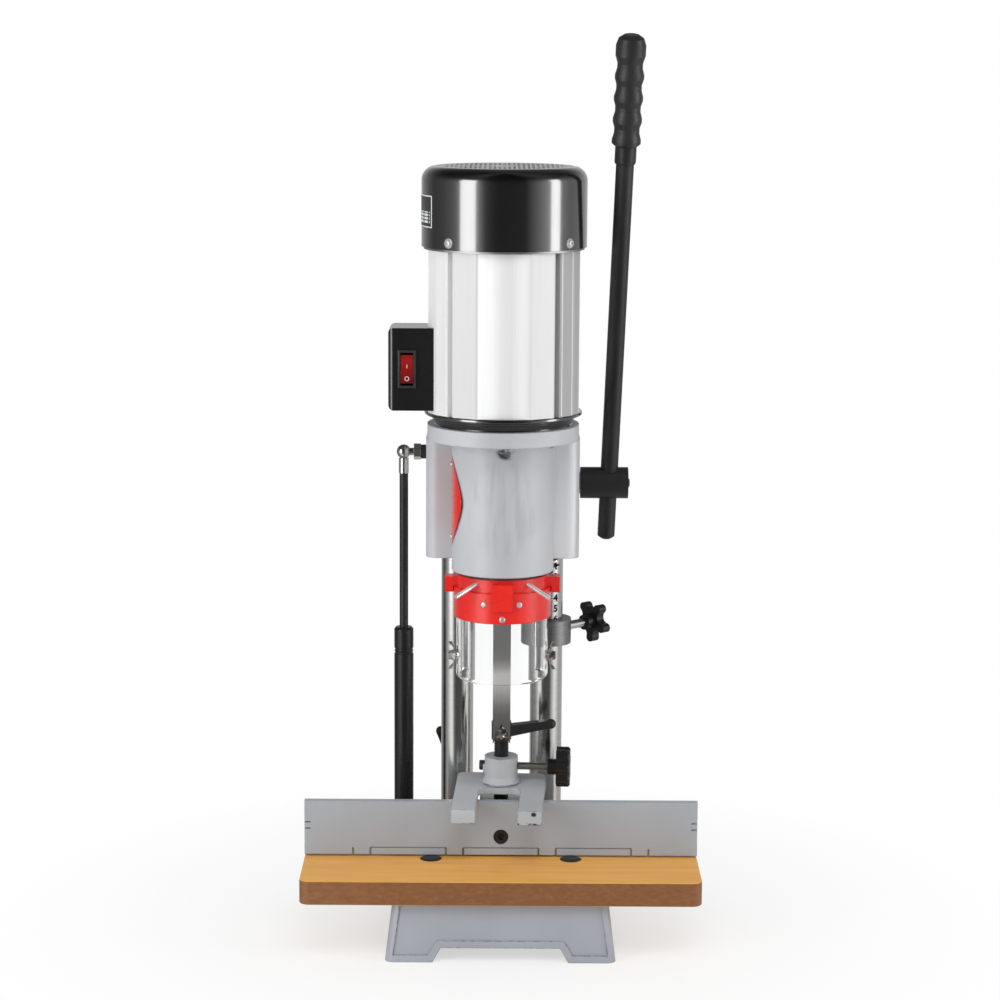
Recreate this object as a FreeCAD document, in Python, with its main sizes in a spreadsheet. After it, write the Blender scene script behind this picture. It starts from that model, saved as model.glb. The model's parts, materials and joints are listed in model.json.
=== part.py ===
import FreeCAD, Part
import math
import os
import Sketcher

# Benchtop mortiser: a motor head slides on two columns above a table with a fence and a hold-down.
# Frame: +X right, -Y towards the user, +Z up. The origin is on the bench, at the centre of the
# four bench bolt holes. The spindle stands at X = 0, Y = spindle_y. Millimetres.

sizes = {
    # base casting and table
    "base_width": 207, "base_depth": 228, "base_height": 53, "base_taper": 7, "base_corner": 8,
    "base_wall": 9, "foot_length": 42, "foot_clearance": 13, "foot_slope": 8,
    "panel_border": 6.4, "panel_depth": 1.4,
    "rib_bottom": 14, "rib_width": 8, "table_thread": 20,
    "guide_front": 26, "guide_back": 90, "guide_top": 104,
    "bench_hole_x": 82, "bench_hole_y": 92, "bench_hole_radius": 4.5,
    "socket_radius": 26, "socket_top": 100, "socket_floor": 20,
    "table_width": 360, "table_front": -115, "table_back": 10, "table_thickness": 22,
    "table_corner": 9,
    "table_bolt_x": 64, "table_bolt_front": -44, "table_bolt_back": -8,
    "table_bolt_head": 10, "table_bolt_dome": 1.3, "table_bolt_radius": 4,
    # columns and gas spring
    "column_x": 41.5, "column_y": 40, "column_radius": 15, "column_top": 560, "slide_fit": 0.05,
    "gas_x": -91.6, "gas_ball_high": 439, "gas_ball_low": 66, "gas_tube_radius": 9,
    "gas_tube_top": 273.6, "gas_tube_bottom": 80, "gas_rod_radius": 4, "gas_ball_radius": 6.6,
    "gas_piston_radius": 7.45, "gas_stud_radius": 3.5, "gas_stud_depth": 9, "gas_spacer": 6.4,
    "gas_lug_reach": 16, "gas_crimp": 21.5, "gas_crimp_depth": 0.7,
    # head casting
    "spindle_y": -50, "head_bottom": 347, "boss_bottom": 352, "boss_top": 460, "flange_bottom": 465.5,
    "flange_top": 479, "flange_radius": 67.4, "drum_radius": 45.7, "drum_bore": 36.2, "floor_top": 372,
    "neck_bottom": 326, "neck_radius": 30, "boss_radius": 27.9, "wing_half": 69.4, "wing_front": -28,
    "window_middle": 410.5, "window_half_height": 42.5, "window_half_width": 28.2, "window_back": -31,
    "window_curve": 1.6,
    # motor
    "shield_radius": 70, "shield_rim": 3.4, "shield_waist": 60.5, "shield_top": 491,
    "motor_radius": 70.2, "motor_top": 634, "groove_depth": 4.5, "motor_bore": 60,
    "cover_radius": 72.8, "cover_bottom": 636, "cover_top": 706, "cover_wall": 2, "cover_round": 12.4,
    "grille_radius": 60, "grille_thickness": 2.6, "grille_pitch": 4.2, "grille_slot": 2.2,
    "shaft_radius": 8, "chuck_radius": 19,
    # lever and pinion
    "pinion_y": 4, "pinion_height": 416.8, "pinion_teeth": 24, "tooth_module": 2, "pinion_width": 14,
    "pinion_shaft_radius": 10, "rack_pitch_y": 28, "rack_low": 328, "rack_high": 448,
    "hub_radius": 14.3, "hub_left": 70.6, "hub_socket": 16, "hub_right": 114,
    "lever_x": 96.5, "lever_radius": 7.9,
    "lever_lean": 12, "lever_splay": 1.6, "lever_below": 54, "grip_start": 299,
    # depth stop
    "stop_bottom": 260, "stop_top": 283, "stop_radius": 22.9, "stop_turn": 42,
    # chisel, bit and guard
    "chisel_size": 15.9, "chisel_tip": 188, "chisel_shoulder": 322, "bit_radius": 5.8,
    "guard_radius": 43.9, "guard_ring_bottom": 305, "guard_ring_top": 332.5, "cup_radius": 41.4,
    "cup_bottom": 247.8, "cup_wall": 2.2, "cup_opening": 52, "wing_stud_radius": 2, "wing_nut_height": 267.6,
    # switch
    "switch_left": -101, "switch_right": -62, "switch_front": -84, "switch_back": -40,
    "switch_bottom": 494, "switch_top": 566.6, "rocker_x": -84.4, "rocker_height": 530.8,
    # fence
    "fence_front": -38, "fence_thickness": 8, "fence_bottom": 76.6, "fence_top": 127,
    "slit_spread": 85, "slit_pair": 15.9, "slit_width": 1.3, "slit_height": 6.5,
    "end_slit_low": 100.6, "end_slit_high": 106.6, "end_slit_length": 5.5, "tab_line": 0.6,
    "fence_bolt_height": 93.9, "fence_lever_y": 78, "fence_screw_radius": 4,
    "bar_width": 24, "bar_bottom": 81, "bar_top": 95, "bar_back": 112,
    "post_y": -10, "post_radius": 6.75, "post_top": 200, "ring_radius": 19.5, "ring_bottom": 112,
    "ring_top": 124,
    # hold-down
    "holder_top": 163.5, "holder_radius": 15.3, "fork_back": 8, "fork_front": -75, "fork_half": 41.2,
    "fork_slot": 19.3, "fork_yaw": -3.8, "knob_height": 154, "lever_nut_bottom": 178, "lever_nut_top": 196,
}

doc = FreeCAD.newDocument("benchtop_mortiser")
sheet = doc.addObject("Spreadsheet::Sheet", "Dims")
for row, (word, number) in enumerate(sizes.items(), start=1):
    sheet.set("A%d" % row, word)
    sheet.set("B%d" % row, str(number))
    sheet.setAlias("B%d" % row, word)
doc.recompute()


class Size:
    """A length with its value and the spreadsheet formula that gives it."""

    def __init__(self, value, text):
        self.value = float(value)
        self.text = text

    @staticmethod
    def of(other):
        if isinstance(other, Size):
            return other
        return Size(other, "(%.10g)" % other)

    def __add__(self, other):
        other = Size.of(other)
        return Size(self.value + other.value, "(%s + %s)" % (self.text, other.text))

    def __sub__(self, other):
        other = Size.of(other)
        return Size(self.value - other.value, "(%s - %s)" % (self.text, other.text))

    def __mul__(self, other):
        other = Size.of(other)
        return Size(self.value * other.value, "(%s * %s)" % (self.text, other.text))

    def __truediv__(self, other):
        other = Size.of(other)
        return Size(self.value / other.value, "(%s / %s)" % (self.text, other.text))

    def __radd__(self, other):
        return Size.of(other) + self

    def __rsub__(self, other):
        return Size.of(other) - self

    def __rmul__(self, other):
        return Size.of(other) * self

    def __neg__(self):
        return Size(-self.value, "(0 - %s)" % self.text)

    def __float__(self):
        return self.value


class Sheet:
    """Reads a driving dimension by its alias."""

    def __getattr__(self, word):
        return Size(sheet.get(word), "Dims." + word)


d = Sheet()
nodes = []
turn_to_x = FreeCAD.Rotation(FreeCAD.Vector(0, 1, 0), 90)
turn_to_y = FreeCAD.Rotation(FreeCAD.Vector(1, 0, 0), -90)
upright = FreeCAD.Rotation()


def bind(thing, name, amount):
    amount = Size.of(amount)
    thing.setExpression(name, amount.text)


def place(thing, x, y, z, rotation=upright):
    thing.Placement = FreeCAD.Placement(FreeCAD.Vector(float(x), float(y), float(z)), rotation)
    bind(thing, "Placement.Base.x", x)
    bind(thing, "Placement.Base.y", y)
    bind(thing, "Placement.Base.z", z)


def node(thing, label):
    thing.Label = label
    nodes.append(thing)
    return thing


def box(x0, x1, y0, y1, z0, z1):
    block = doc.addObject("Part::Box", "Box")
    bind(block, "Length", Size.of(x1) - x0)
    bind(block, "Width", Size.of(y1) - y0)
    bind(block, "Height", Size.of(z1) - z0)
    place(block, x0, y0, z0)
    return block


def cylinder(radius, length, x, y, z, rotation=upright):
    rod = doc.addObject("Part::Cylinder", "Cylinder")
    bind(rod, "Radius", radius)
    bind(rod, "Height", length)
    place(rod, x, y, z, rotation)
    return rod


def rod_along(radius, length, start, direction, back=0):
    """A cylinder along direction, beginning back millimetres behind start."""
    way = FreeCAD.Vector(*direction).normalize()
    turn = FreeCAD.Rotation(FreeCAD.Vector(0, 0, 1), way)
    return cylinder(radius, length, Size.of(start[0]) - back * way.x, Size.of(start[1]) - back * way.y,
                    Size.of(start[2]) - back * way.z, turn)


def sphere(radius, x, y, z, rotation=upright):
    ball = doc.addObject("Part::Sphere", "Sphere")
    bind(ball, "Radius", radius)
    place(ball, x, y, z, rotation)
    return ball


def cone(radius_low, radius_high, length, x, y, z, rotation=upright):
    taper = doc.addObject("Part::Cone", "Cone")
    bind(taper, "Radius1", radius_low)
    bind(taper, "Radius2", radius_high)
    bind(taper, "Height", length)
    place(taper, x, y, z, rotation)
    return taper


def hexagon(across_flats, length, x, y, z, rotation=upright):
    prism = doc.addObject("Part::Prism", "Hexagon")
    prism.Polygon = 6
    bind(prism, "Circumradius", Size.of(across_flats) / math.sqrt(3))
    bind(prism, "Height", length)
    place(prism, x, y, z, rotation)
    return prism


def fuse(*pieces):
    joined = doc.addObject("Part::MultiFuse", "Fuse")
    joined.Shapes = list(pieces)
    joined.Refine = True
    return joined


def cut(base, *tools):
    tool = tools[0] if len(tools) == 1 else fuse(*tools)
    result = doc.addObject("Part::Cut", "Cut")
    result.Base = base
    result.Tool = tool
    return result


def rounded(base, radius, chooser):
    """Fillets the edges of base that chooser accepts."""
    doc.recompute()
    result = doc.addObject("Part::Fillet", "Fillet")
    result.Base = base
    chosen = [i for i, edge in enumerate(base.Shape.Edges, start=1) if chooser(edge)]
    result.Edges = [(i, float(radius), float(radius)) for i in chosen]
    return result


def upright_edge(edge, low_length=5):
    span = edge.BoundBox
    return span.XLength < 0.01 and span.YLength < 0.01 and span.ZLength > low_length


def new_body(label):
    body = doc.addObject("PartDesign::Body", "Body")
    node(body, label)
    return body


def sketch_on(body, role, offset=0):
    plane = [item for item in body.Origin.OriginFeatures if item.Role == role][0]
    sketch = body.newObject("Sketcher::SketchObject", "Sketch")
    sketch.AttachmentSupport = [(plane, "")]
    sketch.MapMode = "FlatFace"
    bind(sketch, "AttachmentOffset.Base.z", offset)
    return sketch


def outline(sketch, points):
    """A closed outline of straight sides, every corner bound to the sheet."""
    first = sketch.GeometryCount
    count = len(points)
    for i in range(count):
        start, end = points[i], points[(i + 1) % count]
        sketch.addGeometry(Part.LineSegment(FreeCAD.Vector(float(start[0]), float(start[1]), 0),
                                            FreeCAD.Vector(float(end[0]), float(end[1]), 0)))
    for i in range(count):
        sketch.addConstraint(Sketcher.Constraint("Coincident", first + i, 2, first + (i + 1) % count, 1))
    for i, (across, up) in enumerate(points):
        for kind, amount in (("DistanceX", across), ("DistanceY", up)):
            line = sketch.addConstraint(Sketcher.Constraint(kind, -1, 1, first + i, 1, float(amount)))
            sketch.setExpression("Constraints[%d]" % line, Size.of(amount).text)


def circle(sketch, across, up, radius):
    centre = FreeCAD.Vector(float(across), float(up), 0)
    index = sketch.addGeometry(Part.Circle(centre, FreeCAD.Vector(0, 0, 1), float(radius)))
    for kind, amount in (("DistanceX", across), ("DistanceY", up)):
        line = sketch.addConstraint(Sketcher.Constraint(kind, -1, 1, index, 3, float(amount)))
        sketch.setExpression("Constraints[%d]" % line, Size.of(amount).text)
    line = sketch.addConstraint(Sketcher.Constraint("Radius", index, float(radius)))
    sketch.setExpression("Constraints[%d]" % line, Size.of(radius).text)


def pad(body, sketch, length, taper=None):
    feature = body.newObject("PartDesign::Pad", "Pad")
    feature.Profile = sketch
    bind(feature, "Length", length)
    if taper is not None:
        bind(feature, "TaperAngle", taper)
    doc.recompute()
    return feature


def pocket(body, sketch, length, backwards=False, midplane=False):
    before = body.Shape.Volume
    feature = body.newObject("PartDesign::Pocket", "Pocket")
    feature.Profile = sketch
    bind(feature, "Length", length)
    feature.Reversed = backwards
    feature.Midplane = midplane
    doc.recompute()
    if body.Shape.Volume >= before - 1:
        raise RuntimeError("a pocket in %s cuts nothing" % body.Label)
    return feature


def turned(label, points, x, y, z=0, rotation=upright):
    """A lathe-turned piece: outline points are (radius, height) about its own axis."""
    body = new_body(label)
    sketch = sketch_on(body, "XZ_Plane")
    outline(sketch, points)
    feature = body.newObject("PartDesign::Revolution", "Revolution")
    feature.Profile = sketch
    feature.ReferenceAxis = (sketch, ["V_Axis"])
    feature.Angle = 360
    place(body, x, y, z, rotation)
    doc.recompute()
    return body


def turned_solid(points, x, y, z=0, rotation=upright):
    """The same as turned, for a body that a later boolean works on."""
    body = turned("Blank", points, x, y, z, rotation)
    nodes.remove(body)
    return body


def tube_profile(inner, outer, low, high):
    return [(inner, low), (outer, low), (outer, high), (inner, high)]


def shaped(label, shape, placement=FreeCAD.Placement()):
    """A Part::Feature whose shape is worked out from the sheet's values in this file."""
    piece = doc.addObject("Part::Feature", "Shaped")
    piece.Shape = shape
    piece.Placement = placement
    return node(piece, label)


def polygon_prism(points, direction):
    """points are 3-D; the face they bound is extruded along direction."""
    wire = Part.makePolygon([FreeCAD.Vector(*p) for p in points] + [FreeCAD.Vector(*points[0])])
    return Part.Face(wire).extrude(FreeCAD.Vector(*direction))


# ---- base, table ----
def side_panel(body, role, half_width, half_depth, side):
    """Sinks a panel into one sloping side of the base, half_depth from the middle."""
    lean = float(d.base_taper) * side
    sketch = sketch_on(body, role)
    sketch.AttachmentOffset = FreeCAD.Placement(FreeCAD.Vector(0, 0, float(half_depth) * side),
                                                FreeCAD.Rotation(FreeCAD.Vector(1, 0, 0), -lean))
    bind(sketch, "AttachmentOffset.Base.z", half_depth * side)
    foot = half_width - d.panel_border - 1
    inner = half_width - d.foot_length + d.panel_border / 2
    low = d.panel_border
    high = d.foot_clearance + d.panel_border
    top = d.base_height + 2
    narrow = foot - d.base_height * math.tan(math.radians(float(d.base_taper)))
    right = [(inner, low), (foot, low), (narrow, top)]
    left = [(-across, up) for across, up in reversed(right)]
    outline(sketch, [(inner - d.foot_slope, high)] + right + left + [(-inner + d.foot_slope, high)])
    pocket(body, sketch, d.panel_depth, backwards=side < 0)


def make_base():
    body = new_body("base_casting")
    half_x = d.base_width / 2
    half_y = d.base_depth / 2
    plan = sketch_on(body, "XY_Plane")
    outline(plan, [(-half_x, -half_y), (half_x, -half_y), (half_x, half_y), (-half_x, half_y)])
    block = pad(body, plan, d.base_height, -d.base_taper)
    if block.Shape.BoundBox.XLength > float(d.base_width) + 1:
        raise RuntimeError("the base tapers the wrong way")
    corners = [i for i, edge in enumerate(block.Shape.Edges, start=1)
               if edge.BoundBox.ZLength > float(d.base_height) - 1]
    fillet = body.newObject("PartDesign::Fillet", "Corners")
    fillet.Base = (block, ["Edge%d" % i for i in corners])
    bind(fillet, "Radius", d.base_corner)
    doc.recompute()
    # hollow underside, with a full-height block left at each foot
    side_x = half_x - d.base_wall - d.base_taper
    side_y = half_y - d.base_wall - d.base_taper
    foot_x = half_x - d.foot_length
    foot_y = half_y - d.foot_length
    hollow = sketch_on(body, "XY_Plane", 0)
    outline(hollow, [(-foot_x, -side_y), (foot_x, -side_y), (foot_x, -foot_y), (side_x, -foot_y),
                     (side_x, foot_y), (foot_x, foot_y), (foot_x, side_y), (-foot_x, side_y),
                     (-foot_x, foot_y), (-side_x, foot_y), (-side_x, -foot_y), (-foot_x, -foot_y)])
    pocket(body, hollow, d.base_height - d.base_wall, backwards=True)
    # ribs under the top, sockets for the columns, bosses for the table bolts
    ribs = sketch_on(body, "XY_Plane", d.rib_bottom)
    half_rib = d.rib_width / 2
    outline(ribs, [(-side_x - 1, d.column_y - half_rib), (side_x + 1, d.column_y - half_rib),
                   (side_x + 1, d.column_y + half_rib), (-side_x - 1, d.column_y + half_rib)])
    pad(body, ribs, d.base_height - d.rib_bottom - 1)
    ribs = sketch_on(body, "XY_Plane", d.rib_bottom)
    outline(ribs, [(-half_rib, -side_y - 1), (half_rib, -side_y - 1), (half_rib, side_y + 1),
                   (-half_rib, side_y + 1)])
    pad(body, ribs, d.base_height - d.rib_bottom - 1)
    sockets = sketch_on(body, "XY_Plane", d.socket_floor - 6)
    for side in (-1, 1):
        circle(sockets, side * d.column_x, d.column_y, d.socket_radius)
    pad(body, sockets, d.socket_top - d.socket_floor + 6)
    studs = sketch_on(body, "XY_Plane", d.base_height - d.table_thread)
    for side in (-1, 1):
        for end in (d.table_bolt_front, d.table_bolt_back):
            circle(studs, side * d.table_bolt_x, end, d.table_bolt_radius + 5)
    pad(body, studs, d.table_thread - 1)
    # guide block for the fence bar, between the sockets
    guide_half = d.bar_width / 2 + 8
    guide = sketch_on(body, "XY_Plane", d.base_height - 1)
    outline(guide, [(-guide_half, d.guide_front), (guide_half, d.guide_front),
                    (guide_half, d.guide_back), (-guide_half, d.guide_back)])
    pad(body, guide, d.guide_top - d.base_height + 1)
    # lug for the lower end of the gas spring
    lug = sketch_on(body, "XY_Plane", d.base_height - 1)
    outline(lug, [(d.gas_x + d.gas_lug_reach, d.column_y - 11), (d.gas_x + 26, d.column_y - 11),
                  (d.gas_x + 26, d.column_y + 11), (d.gas_x + d.gas_lug_reach, d.column_y + 11)])
    pad(body, lug, 25)
    # arches between the feet, front to back and side to side
    arch = sketch_on(body, "XZ_Plane", 0)
    arch_half = half_x - d.foot_length
    outline(arch, [(-arch_half, -1), (arch_half, -1), (arch_half - d.foot_slope, d.foot_clearance),
                   (-arch_half + d.foot_slope, d.foot_clearance)])
    pocket(body, arch, d.base_depth + 20, midplane=True)
    arch = sketch_on(body, "YZ_Plane", 0)
    arch_half = half_y - d.foot_length
    outline(arch, [(-arch_half, -1), (arch_half, -1), (arch_half - d.foot_slope, d.foot_clearance),
                   (-arch_half + d.foot_slope, d.foot_clearance)])
    pocket(body, arch, d.base_width + 20, midplane=True)
    # sunk panels leave a raised border round the feet and over each arch
    side_panel(body, "XZ_Plane", half_x, half_y, 1)
    side_panel(body, "XZ_Plane", half_x, half_y, -1)
    side_panel(body, "YZ_Plane", half_y, half_x, 1)
    side_panel(body, "YZ_Plane", half_y, half_x, -1)
    # column bores, the fence bar's channel, bench holes, table bolt holes
    bores = sketch_on(body, "XY_Plane", d.socket_floor)
    for side in (-1, 1):
        circle(bores, side * d.column_x, d.column_y, d.column_radius)
    pocket(body, bores, 100, backwards=True)
    channel = sketch_on(body, "XZ_Plane", 0)
    half_bar = d.bar_width / 2 + 0.1
    outline(channel, [(-half_bar, d.bar_bottom - 0.1), (half_bar, d.bar_bottom - 0.1),
                      (half_bar, d.bar_top + 0.1), (-half_bar, d.bar_top + 0.1)])
    pocket(body, channel, 240, midplane=True)
    holes = sketch_on(body, "XY_Plane", -1)
    for side in (-1, 1):
        for end in (-1, 1):
            circle(holes, side * d.bench_hole_x, end * d.bench_hole_y, d.bench_hole_radius)
    pocket(body, holes, d.base_height + 3, backwards=True)
    tapped = sketch_on(body, "XY_Plane", d.base_height - d.table_thread)
    for side in (-1, 1):
        for end in (d.table_bolt_front, d.table_bolt_back):
            circle(tapped, side * d.table_bolt_x, end, d.table_bolt_radius)
    pocket(body, tapped, d.table_thread + 1, backwards=True)
    # cross hole for the fence clamp's screw, and for the gas spring's lower stud
    cross = sketch_on(body, "YZ_Plane", 0)
    circle(cross, d.fence_lever_y, (d.bar_bottom + d.bar_top) / 2, d.fence_screw_radius + d.slide_fit)
    pocket(body, cross, 30)


def make_table():
    body = new_body("table_board")
    half = d.table_width / 2
    plan = sketch_on(body, "XY_Plane", d.base_height)
    outline(plan, [(-half, d.table_front), (half, d.table_front), (half, d.table_back),
                   (-half, d.table_back)])
    board = pad(body, plan, d.table_thickness)
    corners = ["Edge%d" % i for i, edge in enumerate(board.Shape.Edges, start=1) if upright_edge(edge)]
    fillet = body.newObject("PartDesign::Fillet", "Corners")
    fillet.Base = (board, corners)
    bind(fillet, "Radius", d.table_corner)
    doc.recompute()
    rim = [i for i, edge in enumerate(fillet.Shape.Edges, start=1)
           if edge.BoundBox.ZLength < 0.01]
    chamfer = body.newObject("PartDesign::Fillet", "Rim")
    chamfer.Base = (fillet, ["Edge%d" % i for i in rim])
    chamfer.Radius = 1.2
    doc.recompute()
    holes = sketch_on(body, "XY_Plane", d.base_height - 1)
    for side in (-1, 1):
        for end in (d.table_bolt_front, d.table_bolt_back):
            circle(holes, side * d.table_bolt_x, end, d.table_bolt_radius + 0.3)
    pocket(body, holes, d.table_thickness + 2, backwards=True)


def make_table_bolts():
    table_top = d.base_height + d.table_thickness
    bolts = []
    for side in (-1, 1):
        for end in (d.table_bolt_front, d.table_bolt_back):
            shank = cylinder(d.table_bolt_radius, 40, side * d.table_bolt_x, end, table_top - 40)
            head = cone(d.table_bolt_head, d.table_bolt_head - 2.5, d.table_bolt_dome,
                        side * d.table_bolt_x, end, table_top)
            bolts.append(fuse(shank, head))
    node(fuse(*bolts), "table_bolts")


# ---- columns ----
def rack_gap(z_middle):
    """One gap between two teeth of the rack, as a prism across the column."""
    module = float(d.tooth_module)
    slope = math.tan(math.radians(20))
    pitch_y = float(d.rack_pitch_y)
    tip_y, root_y = pitch_y - module, pitch_y + 1.25 * module
    half_tip = module * math.pi / 4 + module * slope
    half_root = module * math.pi / 4 - 1.25 * module * slope
    x0 = float(d.column_x) - 16
    points = [(x0, tip_y - 4, z_middle - half_tip), (x0, tip_y, z_middle - half_tip),
              (x0, root_y, z_middle - half_root), (x0, root_y, z_middle + half_root),
              (x0, tip_y, z_middle + half_tip), (x0, tip_y - 4, z_middle + half_tip)]
    return polygon_prism(points, (32, 0, 0))


def make_columns():
    profile = [(0, d.socket_floor), (d.column_radius, d.socket_floor), (d.column_radius, d.column_top - 2),
               (d.column_radius - 2, d.column_top), (0, d.column_top)]
    turned("column_left", profile, -d.column_x, d.column_y)
    # the right column carries the rack, cut into its front
    x, y, radius = float(d.column_x), float(d.column_y), float(d.column_radius)
    rod = Part.makeCylinder(radius, float(d.column_top - d.socket_floor),
                            FreeCAD.Vector(x, y, float(d.socket_floor)))
    tip_y = float(d.rack_pitch_y - d.tooth_module)
    low, high = float(d.rack_low), float(d.rack_high)
    flat = Part.makeBox(2 * radius, 20, high - low, FreeCAD.Vector(x - radius, tip_y - 20, low))
    rod = rod.cut(flat)
    pitch = math.pi * float(d.tooth_module)
    count = int((high - low) / pitch)
    first = float(d.pinion_height) - pitch * round((float(d.pinion_height) - low - pitch) / pitch)
    gaps = [rack_gap(first + i * pitch) for i in range(count) if first + i * pitch < high - pitch / 2]
    shaped("column_right", rod.cut(Part.makeCompound(gaps)))


# ---- gas spring ----
def make_gas_spring():
    wall = d.gas_piston_radius + d.slide_fit
    crimp = d.gas_tube_top - d.gas_crimp
    waist = d.gas_tube_radius - d.gas_crimp_depth
    turned("gas_tube", [(0, d.gas_tube_bottom), (d.gas_tube_radius - 1.5, d.gas_tube_bottom),
                        (d.gas_tube_radius, d.gas_tube_bottom + 2), (d.gas_tube_radius, crimp - 4),
                        (waist, crimp - 3.2), (waist, crimp - 2), (d.gas_tube_radius, crimp - 1),
                        (waist, crimp), (waist, crimp + 1.2), (d.gas_tube_radius, crimp + 2),
                        (d.gas_tube_radius, d.gas_tube_top - 2),
                        (d.gas_tube_radius - 1.5, d.gas_tube_top), (d.gas_rod_radius + d.slide_fit,
                                                                    d.gas_tube_top),
                        (d.gas_rod_radius + d.slide_fit, d.gas_tube_top - 12), (wall, d.gas_tube_top - 12),
                        (wall, d.gas_tube_bottom + 6), (0, d.gas_tube_bottom + 6)], d.gas_x, d.column_y)
    piston = d.gas_tube_top - 30
    turned("gas_rod", [(0, piston), (d.gas_piston_radius, piston), (d.gas_piston_radius, piston + 8),
                       (d.gas_rod_radius, piston + 8), (d.gas_rod_radius, d.gas_ball_high - 20),
                       (0, d.gas_ball_high - 20)], d.gas_x, d.column_y)
    ball = d.gas_ball_radius - 2
    high_socket = cut(fuse(sphere(d.gas_ball_radius, d.gas_x, d.column_y, d.gas_ball_high),
                           cylinder(4.6, 14, d.gas_x, d.column_y, d.gas_ball_high - 20)),
                      sphere(ball + 0.05, d.gas_x, d.column_y, d.gas_ball_high, turn_to_x),
                      cylinder(4.2, 9, d.gas_x, d.column_y, d.gas_ball_high, turn_to_x))
    node(high_socket, "gas_socket_high")
    low_socket = cut(fuse(sphere(d.gas_ball_radius, d.gas_x, d.column_y, d.gas_ball_low),
                          cylinder(4.6, d.gas_tube_bottom - d.gas_ball_low, d.gas_x, d.column_y,
                                   d.gas_ball_low)),
                     sphere(ball + 0.05, d.gas_x, d.column_y, d.gas_ball_low, turn_to_x),
                     cylinder(4.2, 9, d.gas_x, d.column_y, d.gas_ball_low, turn_to_x))
    node(low_socket, "gas_socket_low")
    # upper ball stud: nut and spacer outside, the end screwed into the left boss of the head
    thread = d.gas_stud_radius
    stud = cylinder(thread, d.gas_stud_depth - d.wing_half - d.gas_x, d.gas_x, d.column_y, d.gas_ball_high,
                    turn_to_x)
    spacer = -d.wing_half - d.gas_spacer
    nut = hexagon(13, d.gas_spacer, spacer - d.gas_spacer, d.column_y, d.gas_ball_high, turn_to_x)
    node(fuse(sphere(ball, d.gas_x, d.column_y, d.gas_ball_high, turn_to_x), stud, nut), "gas_stud_high")
    node(cut(cylinder(6.5, d.gas_spacer, spacer, d.column_y, d.gas_ball_high, turn_to_x),
             cylinder(thread, d.gas_spacer + 2, spacer - 1, d.column_y, d.gas_ball_high,
                      turn_to_x)), "gas_spacer")
    lug_face = d.gas_x + d.gas_lug_reach
    stud = cylinder(thread, d.gas_lug_reach, d.gas_x, d.column_y, d.gas_ball_low, turn_to_x)
    nut = hexagon(13, 5, lug_face - 5, d.column_y, d.gas_ball_low, turn_to_x)
    node(fuse(sphere(ball, d.gas_x, d.column_y, d.gas_ball_low, turn_to_x), stud, nut), "gas_stud_low")


# ---- head casting ----
def window_prism(shrink):
    """The access window's outline in side view: a pointed oval in front, straight at the back."""
    half_height = float(d.window_half_height) - shrink
    half_width = float(d.window_half_width) - shrink
    power = 2 / float(d.window_curve)
    points = []
    steps = 8
    for i in range(2 * steps + 1):
        angle = math.pi * (i - steps) / (2 * steps)
        forward = half_width * math.cos(angle) ** power
        up = half_height * math.copysign(abs(math.sin(angle)) ** power, math.sin(angle))
        points.append(FreeCAD.Vector(-60, float(d.spindle_y) - forward, float(d.window_middle) + up))
    front = Part.BSplineCurve()
    front.interpolate(points)
    back = float(d.window_back) - shrink
    low, high = points[0], points[-1]
    back_low = FreeCAD.Vector(-60, back, low.z)
    back_high = FreeCAD.Vector(-60, back, high.z)
    wire = Part.Wire([front.toShape(), Part.makeLine(high, back_high), Part.makeLine(back_high, back_low),
                      Part.makeLine(back_low, low)])
    return Part.Face(wire).extrude(FreeCAD.Vector(36, 0, 0))


def head_shell(inner, outer):
    low = float(d.window_middle - d.window_half_height) - 5
    span = 2 * float(d.window_half_height) + 10
    at = FreeCAD.Vector(0, float(d.spindle_y), low)
    return Part.makeCylinder(outer, span, at).cut(Part.makeCylinder(inner, span, at))


def make_head():
    y = d.spindle_y
    drum = cylinder(d.drum_radius, d.flange_bottom - d.head_bottom, 0, y, d.head_bottom)
    flange = cylinder(d.flange_radius, d.flange_top - d.flange_bottom, 0, y, d.flange_bottom)
    neck = cylinder(d.neck_radius, d.head_bottom - d.neck_bottom, 0, y, d.neck_bottom)
    wings = box(-d.wing_half, d.wing_half, d.wing_front, d.column_y, d.boss_bottom, d.boss_top)
    wings = rounded(wings, 11, lambda edge: upright_edge(edge) and edge.BoundBox.YMax < 0)
    bosses = [cylinder(d.boss_radius, d.boss_top - d.boss_bottom, side * d.column_x, d.column_y,
                       d.boss_bottom)
              for side in (-1, 1)]
    body = fuse(drum, flange, neck, wings, *bosses)
    bore = cylinder(d.drum_bore, d.flange_top - d.floor_top + 1, 0, y, d.floor_top)
    chisel_bore = cylinder(12.5, 60, 0, y, d.neck_bottom - 5)
    slides = [cylinder(d.column_radius + d.slide_fit, 200, side * d.column_x, d.column_y,
                       300) for side in (-1, 1)]
    # the casting is open between the columns at the back
    relief = box(-11, 11, d.column_y - 28, 90, 300, 470)
    gear_case = cylinder(d.tooth_module * (d.pinion_teeth / 2 + 1) + 0.6, 50, 33, d.pinion_y, d.pinion_height,
                         turn_to_x)
    shaft_bore = cylinder(d.pinion_shaft_radius + d.slide_fit, 30, 16, d.pinion_y, d.pinion_height, turn_to_x)
    stud_hole = cylinder(d.gas_stud_radius, d.gas_stud_depth + 2, -d.wing_half - 2, d.column_y,
                         d.gas_ball_high,
                         turn_to_x)
    window = doc.addObject("Part::Feature", "Window")
    window.Shape = window_prism(0)
    node(cut(body, bore, chisel_bore, *slides, relief, gear_case, shaft_bore, stud_hole, window),
         "head_casting")


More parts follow.
